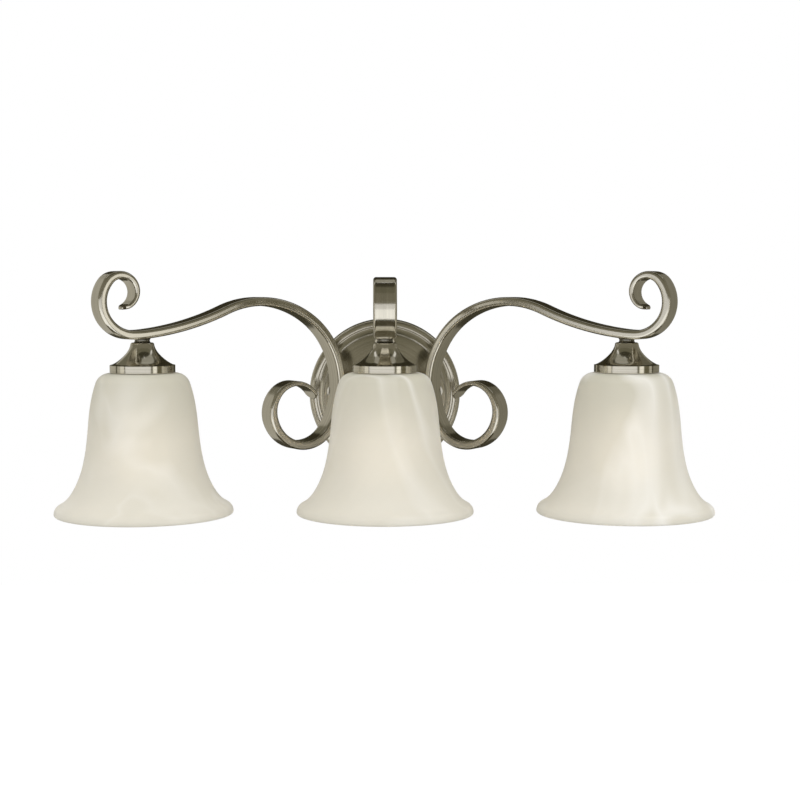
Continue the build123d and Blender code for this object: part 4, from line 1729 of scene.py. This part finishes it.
@dataclass
class BellShade(LightPart):
    """The glass bell of one light, in metres.

    Attributes:
        wall: Thickness of the glass.
        hole: Radius of the hole in its collar.
        shoulder_radius: How far out the shoulder's rounding would reach.
        shoulder: Radius of that rounding.
        shoulder_turn: How far it turns, in degrees.
        bell: Points of the side, as (radius in millimetres, share of the way down).
        roll: Radius of the rim's roll.
        roll_turn: How far the roll turns, in degrees.
        edge: Width of the hole's edges.
    """

    wall: float = 3.5 * MM
    hole: float = 20.5 * MM
    shoulder_radius: float = 43.5 * MM
    shoulder: float = 13.3 * MM
    shoulder_turn: float = 71.0
    bell: tuple = ((47.8, 0.18), (50.8, 0.42), (55.0, 0.66), (63.2, 0.86))
    roll: float = 8.2 * MM
    roll_turn: float = 64.0
    edge: float = 0.6 * MM

    def build(self) -> Piece:
        """Makes the bell.

        Returns:
            The mesh object.
        """
        low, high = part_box(f"shade_{self.side}")
        outline = self._outline((high.x - low.x) / 2, low.z, high.z)
        glass = Turned(f"bell_{self.side}", outline, light_axis(self.side), steps=200, sharp=50).build()
        node = f"shade_{self.side}"
        return dress(glass, self.palette.alabaster, "alabaster_glass", node, node)

    def _outline(self, radius: float, rim: float, top: float) -> list[Point]:
        """The closed outline of the glass, from the hole down the outside and back up the inside.

        Args:
            radius: The rim's outer radius.
            rim: Height of the rim's underside.
            top: Height of the collar's top.

        Returns:
            The points.
        """
        half = self.wall / 2
        shoulder = (self.shoulder_radius - self.shoulder, top - self.shoulder)
        roll, lip = (radius - self.roll, rim + half), (radius - half, rim + half)
        side = self._side(shoulder, roll)
        points = [(self.hole, top - self.wall + self.edge), (self.hole, top - self.edge),
                  (self.hole + self.edge, top)]
        points += arc_points(shoulder, self.shoulder, 90, 90 - self.shoulder_turn, 20)
        points += side[1:]
        points += arc_points(roll, self.roll, self.roll_turn, 0, 20)[1:]
        points += arc_points(lip, half, 0, -180, 16)[1:]
        points += arc_points(roll, self.roll - self.wall, 0, self.roll_turn, 16)[1:]
        points += self._inside(side)[::-1][1:]
        points += arc_points(shoulder, self.shoulder - self.wall, 90 - self.shoulder_turn, 90, 16)[1:]
        return points + [(self.hole + self.edge, top - self.wall)]

    def _side(self, shoulder: Point, roll: Point) -> list[Point]:
        """Draws the outside of the bell's side.

        Args:
            shoulder: Centre of the shoulder's rounding.
            roll: Centre of the rim's roll.

        Returns:
            The points, from the one to the other.
        """
        start = arc_points(shoulder, self.shoulder, 90 - self.shoulder_turn, 0, 1)[0]
        end = arc_points(roll, self.roll, self.roll_turn, 0, 1)[0]
        drop = start[1] - end[1]
        stations = [(r * MM, start[1] - share * drop) for r, share in self.bell]
        return smooth_curve([start, *stations, end], heading(-self.shoulder_turn),
                            heading(self.roll_turn - 90), 18)

    def _inside(self, side: list[Point]) -> list[Point]:
        """Draws the inside of the bell's side, one wall from the outside.

        Args:
            side: The outside's points.

        Returns:
            The points.
        """
        heads = [Vector(heading(-self.shoulder_turn))]
        heads += [(Vector(b) - Vector(a)).normalized() for a, b in zip(side[:-2], side[2:])]
        heads.append(Vector(heading(self.roll_turn - 90)))
        return [(x + head.y * self.wall, y - head.x * self.wall) for (x, y), head in zip(side, heads)]


@dataclass
class Socket(LightPart):
    """The lamp socket and the ribbed ring that carries the glass, in metres.

    Attributes:
        ribs: How many ribs the ring has.
        rib: How far they stand out.
        rib_power: How much narrower than a plain wave they are.
        rib_steps: Points from one rib to the next.
        bore: Radius of the ring's bore.
        sleeve: Radius of its wall between the ribs.
        flange: Height of its flange.
        edge: Width of its edges.
        shell_wall: Thickness of the screw shell.
        shell_depth: Depth of its rolled thread.
        shell_rows: How many rows of facets it has.
    """

    ribs: int = 18
    rib: float = 1.0 * MM
    rib_power: int = 3
    rib_steps: int = 16
    bore: float = 19.2 * MM
    sleeve: float = 22.4 * MM
    flange: float = 2.5 * MM
    edge: float = 0.4 * MM
    shell_wall: float = 0.4 * MM
    shell_depth: float = 0.35 * MM
    shell_rows: int = 70

    def build(self) -> None:
        """Makes the ribbed ring and the threaded screw shell, and finishes the hidden solids."""
        self._ring()
        self._shell()
        for node, finish in (("socket_body", self.palette.porcelain), ("socket_cap", self.palette.zinc),
                             ("holder_tube", self.palette.zinc), ("centre_contact", self.palette.brass),
                             ("arm_boss", self.palette.polished)):
            finish_node(f"{node}_{self.side}", finish)

    def _ring(self) -> None:
        """Makes the ribbed ring, its ribs swelling out of a round wall."""
        low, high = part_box(f"retaining_ring_{self.side}")
        bore, sleeve, rim = self.bore, self.sleeve, (high.x - low.x) / 2
        bottom, top, under, edge = low.z, high.z, high.z - self.flange, self.edge
        profile = [(bore, bottom + edge, 0.0), (bore, top - edge, 0.0), (bore + edge, top, 0.0),
                   (rim - edge, top, 0.0), (rim, top - edge, 0.0), (rim, under + edge, 0.0),
                   (rim - edge, under, 0.0), (sleeve + edge, under, 1.0), (sleeve, under - edge, 1.0),
                   (sleeve, bottom + 2 * edge, 1.0), (sleeve - 0.3 * edge, bottom + 0.6 * edge, 0.6),
                   (sleeve - edge, bottom, 0.0), (bore + edge, bottom, 0.0)]
        rows = [ring_of(light_axis(self.side), height, self.ribs * self.rib_steps,
                        lambda share: radius + self._swell(share) * ribbed)
                for radius, height, ribbed in profile]
        ring = Skin(f"ribbed_ring_{self.side}", rows, closed=True, sharp=50).build()
        dress(ring, self.palette.porcelain, "porcelain", f"ring_{self.side}", f"retaining_ring_{self.side}")

    def _swell(self, share: float) -> float:
        """How far the ribs stand out at a share of the turn."""
        return max(0.0, math.cos(self.ribs * 2 * math.pi * share)) ** self.rib_power * self.rib

    def _shell(self) -> None:
        """Makes the thin screw shell, rolled to the bulb's thread."""
        low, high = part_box(f"screw_shell_{self.side}")
        levels = [low.z + (high.z - low.z) * i / self.shell_rows for i in range(self.shell_rows + 1)]
        rows = []
        for inset, heights in ((0.0, levels), (self.shell_wall, levels[::-1])):
            crest = (high.x - low.x) / 2 - inset
            rows += [rolled_ring(light_axis(self.side), height, crest, self.shell_depth,
                                 (height - low.z) / LAMP_PITCH) for height in heights]
        shell = Skin(f"rolled_shell_{self.side}", rows, closed=True, sharp=50).build()
        dress(shell, self.palette.brass, "brass", "root", f"screw_shell_{self.side}")


@dataclass
class Bulb(LightPart):
    """The bulb of one light: glass, threaded base, insulator and tip, in metres.

    Attributes:
        neck: Radius of the glass's neck.
        neck_end: Height of the neck's straight end over the skirt.
        wall: Thickness of the glass.
        lean: How far round the ball ends above its middle, in degrees.
        skirt: Height of the base's skirt.
        skirt_edge: Width and height of the skirt's edges.
        crest: Radius of the base's thread on its crest.
        thread: Depth of the thread.
        thread_rows: How many rows of facets it has.
        base_wall: Thickness of the base's metal.
        base_edge: Width and height of its edge at the end.
        inner_edge: Width of that edge inside.
        end_hole: Radius of the hole that the insulator fills.
        gap: Gap between the neck and the base.
    """

    neck: float = 12.4 * MM
    neck_end: float = 1.0 * MM
    wall: float = 0.9 * MM
    lean: float = 38.0
    skirt: float = 4.0 * MM
    skirt_edge: Point = (0.4 * MM, 0.8 * MM)
    crest: float = 13.0 * MM
    thread: float = 0.8 * MM
    thread_rows: int = 80
    base_wall: float = 0.5 * MM
    base_edge: float = 1.5 * MM
    inner_edge: float = 1.8 * MM
    end_hole: float = 9.5 * MM
    gap: float = 0.1 * MM

    def build(self) -> None:
        """Makes the glass and the threaded base, and finishes the two small solids."""
        self._glass()
        self._base()
        finish_node(f"bulb_insulator_{self.side}", self.palette.black_glass)
        finish_node(f"bulb_tip_{self.side}", self.palette.brass)

    def _glass(self) -> None:
        """Makes the hollow glass, open at its neck."""
        low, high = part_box(f"bulb_glass_{self.side}")
        outer = self._side((high.x - low.x) / 2, low.z, high.z, 0.0)
        inner = self._side((high.x - low.x) / 2, low.z, high.z, self.wall)
        glass = Turned(f"lamp_glass_{self.side}", outer + inner[::-1], light_axis(self.side),
                       steps=LAMP_STEPS).build()
        dress(glass, self.palette.lamp_glass, "bulb_glass", f"bulb_{self.side}", f"bulb_glass_{self.side}")

    def _side(self, radius: float, low: float, high: float, inset: float) -> list[Point]:
        """Draws one face of the glass.

        Args:
            radius: The ball's radius outside.
            low: Height of the crown.
            high: Height of the neck's end.
            inset: How far the face lies inside the outer one.

        Returns:
            The points, from the crown up to the neck's end.
        """
        points = arc_points((0.0, low + radius), radius - inset, -90, self.lean, 48)
        points[0] = (0.0, points[0][1])
        away = math.radians(self.lean)
        neck_low = (self.neck - inset, high - self.skirt - self.neck_end)
        points += smooth_curve([points[-1], neck_low], (-math.sin(away), math.cos(away)), (-0.05, 1), 30)[1:]
        points.append((self.neck - inset, high))
        return points

    def _base(self) -> None:
        """Makes the metal base: a skirt and a rolled thread."""
        low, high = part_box(f"bulb_base_{self.side}")
        skirt, (wide, deep) = (high.x - low.x) / 2, self.skirt_edge
        start, end = low.z + self.skirt, high.z - self.base_edge
        rows = self._rings([(skirt - wide, low.z), (skirt, low.z + deep), (skirt, start - deep),
                            (self.crest, start - self.gap / 2)])
        for i in range(self.thread_rows + 1):
            height = start + (end - start) * i / self.thread_rows
            ease = min(1.0, (height - start) / LAMP_PITCH * 2, (end - height) / LAMP_PITCH * 2)
            rows.append(rolled_ring(light_axis(self.side), height, self.crest, self.thread * ease,
                                    (height - start) / LAMP_PITCH))
        under, root = high.z - self.base_wall, self.neck + self.gap / 2 - self.thread
        rows += self._rings([(self.crest - self.base_edge, high.z), (self.end_hole, high.z),
                             (self.end_hole, under), (self.crest - self.inner_edge, under),
                             (root, end - self.base_wall), (root, start + LAMP_PITCH / 2),
                             (self.neck + self.gap, start), (self.neck + self.gap, low.z)])
        base = Skin(f"lamp_base_{self.side}", rows, closed=True, sharp=50).build()
        dress(base, self.palette.lamp_metal, "bulb_nickel", f"bulb_{self.side}", f"bulb_base_{self.side}")

    def _rings(self, outline: list[Point]) -> list[list[Vector]]:
        """Plain rings about the light's axis, one for each (radius, height)."""
        return [ring_of(light_axis(self.side), height, LAMP_STEPS, lambda _: radius)
                for radius, height in outline]


# ------------------------------------------------------------------ stage
@dataclass(frozen=True)
class Card:
    """A curved card round the light that only gloss and mirrors see, as a studio hangs them.

    Attributes:
        name: The card's name.
        turn: Where it starts and ends round the light, in degrees to the right of straight in front.
        rise: Its lower and upper edge, in degrees above level.
        colour: The shade that it shows in the metal, linear.
        step: Size of its facets, in degrees.
    """

    name: str
    turn: Point
    rise: Point
    colour: Colour
    step: float = 4.0

    def build(self, centre: Vector, distance: float) -> Piece:
        """Hangs the card.

        Args:
            centre: The point that it stands round.
            distance: How far off it stands.

        Returns:
            The card.
        """
        across = max(2, math.ceil(abs(self.turn[1] - self.turn[0]) / self.step))
        up = max(2, math.ceil(abs(self.rise[1] - self.rise[0]) / self.step))
        points = []
        for i in range(up + 1):
            rise = math.radians(self.rise[0] + (self.rise[1] - self.rise[0]) * i / up)
            level = math.cos(rise)
            for k in range(across + 1):
                turn = math.radians(self.turn[0] + (self.turn[1] - self.turn[0]) * k / across)
                away = Vector((math.sin(turn) * level, -math.cos(turn) * level, math.sin(rise)))
                points.append(tuple(centre + away * distance))
        wide = across + 1
        faces = [(i * wide + k, i * wide + k + 1, (i + 1) * wide + k + 1, (i + 1) * wide + k)
                 for i in range(up) for k in range(across)]
        mesh = bpy.data.meshes.new(self.name)
        mesh.from_pydata(points, [], faces)
        card = bpy.data.objects.new(self.name, mesh)
        bpy.context.scene.collection.objects.link(card)
        shader = Shader(self.name)
        shader.set(Base_Color=(0, 0, 0, 1), Roughness=1.0, Specular_IOR_Level=0.0,
                   Emission_Color=(*self.colour, 1), Emission_Strength=1.0)
        if hasattr(shader.material, "cycles"):
            shader.material.cycles.emission_sampling = "NONE"
        mesh.materials.append(shader.material)
        card.visible_camera = card.visible_diffuse = card.visible_transmission = False
        card.visible_shadow = card.visible_volume_scatter = False
        return card


@dataclass(frozen=True)
class Lamp:
    """A soft square lamp that isn't mirrored in the light bar.

    Attributes:
        name: The lamp's name.
        place: Where it stands.
        size: Its width, in metres.
        power: Its power, in watts.
        colour: Its colour, linear.
    """

    name: str
    place: Triple
    size: float
    power: float
    colour: Colour

    def build(self, target: Vector) -> None:
        """Sets the lamp up.

        Args:
            target: The point that it faces.
        """
        data = bpy.data.lights.new(self.name, "AREA")
        data.size = self.size
        data.energy = self.power
        data.color = self.colour
        lamp = bpy.data.objects.new(self.name, data)
        lamp.location = self.place
        lamp.visible_glossy = False
        lamp.rotation_euler = (target - Vector(self.place)).to_track_quat("-Z", "Y").to_euler()
        bpy.context.scene.collection.objects.link(lamp)


@dataclass
class Stage:
    """The camera, the lamps, the floor and the cards that metal mirrors.

    Attributes:
        eye: The camera's place.
        yaw: Its turn to the right, in degrees.
        pitch: Its tilt down, in degrees.
        lens: Its focal length in millimetres, on a sensor 36 mm wide.
        floor_height: Height of the floor.
        floor_size: Its width.
        floor_white: Strength of the white that it adds where it is seen.
        ambient: Strength of the even light from all round.
        sky: Colour of that light, linear.
        card_centre: The point that the cards hang round.
        card_distance: How far off they hang.
        cards: The cards; the gap between them in front stays white.
        lamp_target: The point that the lamps face.
        lamps: The lamps.
    """

    eye: Triple = (-0.003, -1.515, 0.106)
    yaw: float = 0.7
    pitch: float = 4.25
    lens: float = 67.17
    floor_height: float = -2.6
    floor_size: float = 24.0
    floor_white: float = 0.78
    ambient: float = 0.83
    sky: Colour = (0.96, 0.98, 1.0)
    card_centre: Triple = (0.0, -0.12, 0.0)
    card_distance: float = 2.3
    cards: tuple[Card, ...] = (
        Card("card_low_ceiling", (-115, 115), (7, 42), (0.24, 0.225, 0.17)),
        Card("card_high_ceiling", (-100, 100), (42, 64), (0.18, 0.17, 0.12)),
        Card("card_zenith", (-100, 100), (64, 88), (0.06, 0.055, 0.035)),
        Card("card_zenith_rear", (100, 260), (62, 88), (0.42, 0.41, 0.36)),
        Card("card_left", (-76, -60), (-45, 7), (0.95, 0.93, 0.85)),
        Card("card_left_edge", (-90, -76), (-45, 7), (0.55, 0.53, 0.46)),
        Card("card_left_slot", (-60, -57), (-45, 7), (0.10, 0.09, 0.06)),
        Card("card_far_left", (-96, -90), (-48, 7), (0.04, 0.035, 0.015)),
        Card("card_left_back", (-152, -96), (-48, 24), (0.52, 0.50, 0.43)),
        Card("card_left_back_high", (-150, -115), (24, 62), (0.20, 0.19, 0.14)),
        Card("card_right_slot", (33, 41), (-45, 7), (0.24, 0.23, 0.18)),
        Card("card_right", (41, 57), (-45, 7), (1.25, 1.23, 1.15)),
        Card("card_right_edge", (57, 78), (-45, 7), (0.17, 0.155, 0.10)),
        Card("card_right_far_edge", (78, 90), (-45, 7), (0.60, 0.58, 0.50)),
        Card("card_far_right", (90, 96), (-48, 7), (0.04, 0.035, 0.015)),
        Card("card_right_back", (96, 152), (-48, 24), (0.28, 0.265, 0.21)),
        Card("card_right_back_high", (115, 150), (24, 62), (0.16, 0.15, 0.11)),
        Card("card_behind", (152, 208), (-48, 13), (0.06, 0.055, 0.035)),
        Card("card_behind_high", (150, 210), (13, 62), (0.04, 0.035, 0.02)),
        Card("card_below", (-125, 125), (-88, -45), (0.09, 0.08, 0.05)),
        Card("card_below_rear", (125, 235), (-88, -48), (0.04, 0.035, 0.02)),
    )
    lamp_target: Triple = (0.0, -0.1, 0.0)
    lamps: tuple[Lamp, ...] = (
        Lamp("key", (-1.5, -2.2, 1.7), 1.3, 16.0, (1.0, 0.99, 0.97)),
        Lamp("fill", (1.9, -1.9, 0.7), 1.5, 13.0, (0.98, 0.99, 1.0)),
        Lamp("top", (0.1, -0.5, 2.2), 1.4, 7.0, (1.0, 1.0, 1.0)),
    )

    def build(self) -> None:
        """Sets the stage."""
        self._camera()
        self._world()
        self._floor()
        for card in self.cards:
            card.build(Vector(self.card_centre), self.card_distance)
        for lamp in self.lamps:
            lamp.build(Vector(self.lamp_target))
        bpy.context.scene.view_settings.view_transform = "Standard"

    def _camera(self) -> None:
        """Places the camera."""
        data = bpy.data.cameras.new("camera")
        data.lens = self.lens
        data.sensor_width = 36.0
        camera = bpy.data.objects.new("camera", data)
        camera.location = self.eye
        camera.rotation_euler = (math.radians(90 - self.pitch), 0.0, -math.radians(self.yaw))
        bpy.context.scene.collection.objects.link(camera)
        bpy.context.scene.camera = camera

    def _world(self) -> None:
        """White where it is seen, mirrored or looked at through glass, dimmer where it lights."""
        world = bpy.data.worlds.new("room")
        world.use_nodes = True
        tree = world.node_tree
        tree.nodes.clear()
        light = self._background(tree, self.sky, self.ambient)
        white = self._background(tree, (1.0, 1.0, 1.0), 1.0)
        mixed = tree.nodes.new("ShaderNodeMixShader")
        tree.links.new(seen_rays(tree), mixed.inputs[0])
        tree.links.new(light, mixed.inputs[1])
        tree.links.new(white, mixed.inputs[2])
        output = tree.nodes.new("ShaderNodeOutputWorld")
        tree.links.new(mixed.outputs[0], output.inputs["Surface"])
        bpy.context.scene.world = world

    @staticmethod
    def _background(tree: bpy.types.NodeTree, colour: Colour, strength: float) -> NodeSocket:
        """Adds a plain background.

        Args:
            tree: The world's node tree.
            colour: Its colour, linear.
            strength: Its strength.

        Returns:
            Its output.
        """
        made = tree.nodes.new("ShaderNodeBackground")
        made.inputs["Color"].default_value = (*colour, 1)
        made.inputs["Strength"].default_value = strength
        return made.outputs[0]

    def _floor(self) -> None:
        """A pale floor that looks white where no shadow falls."""
        half = self.floor_size / 2
        square = ((-half, -half), (half, -half), (half, half), (-half, half))
        corners = [(x, y, self.floor_height) for x, y in square]
        mesh = bpy.data.meshes.new("floor")
        mesh.from_pydata(corners, [], [(0, 1, 2, 3)])
        floor = bpy.data.objects.new("floor", mesh)
        bpy.context.scene.collection.objects.link(floor)
        shader = Shader("pale_floor")
        shader.set(Base_Color=(0.8, 0.8, 0.79, 1), Roughness=0.9, Specular_IOR_Level=0.0,
                   Emission_Color=(1, 1, 1, 1))
        lift = shader.math("MULTIPLY", seen_rays(shader.tree), self.floor_white)
        shader.join(lift, shader.surface.inputs["Emission Strength"])
        mesh.materials.append(shader.material)


def seen_rays(tree: bpy.types.NodeTree) -> NodeSocket:
    """Tells rays that see from rays that light.

    Args:
        tree: The node tree that it is asked in.

    Returns:
        1 for what is seen, mirrored or looked at through glass, and 0 for what lights.
    """
    path = tree.nodes.new("ShaderNodeLightPath")
    seen = path.outputs["Is Camera Ray"]
    for kind in ("Is Glossy Ray", "Is Transmission Ray"):
        larger = tree.nodes.new("ShaderNodeMath")
        larger.operation = "MAXIMUM"
        tree.links.new(seen, larger.inputs[0])
        tree.links.new(path.outputs[kind], larger.inputs[1])
        seen = larger.outputs[0]
    return seen


def write_sizes() -> None:
    """Does nothing: the boxes of the frame and of the dressed light are not written."""
    LOG.info("sizes written")


def main() -> None:
    """Builds the light bar piece by piece, then its stage."""
    logging.basicConfig(level=logging.INFO, format="%(name)s: %(message)s")
    palette = Palette()
    dress(Canopy().build(), palette.pan, "brushed_nickel", "root", "canopy")
    WallFixings(palette).build()
    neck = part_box("holder_centre")[1].z + Holder.neck_height + FlatBar.thick / 2
    for side in SIDES:
        arm = CentreArm(side) if side == "centre" else SideArm(side)
        dress(arm.build(neck), palette.bar, "brushed_nickel", "root", f"arm_{side}")
        Holder(side, palette).build()
        BellShade(side, palette).build()
        Socket(side, palette).build()
        Bulb(side, palette).build()
    Stage().build()
    write_sizes()


if __name__ == "__main__":
    main()
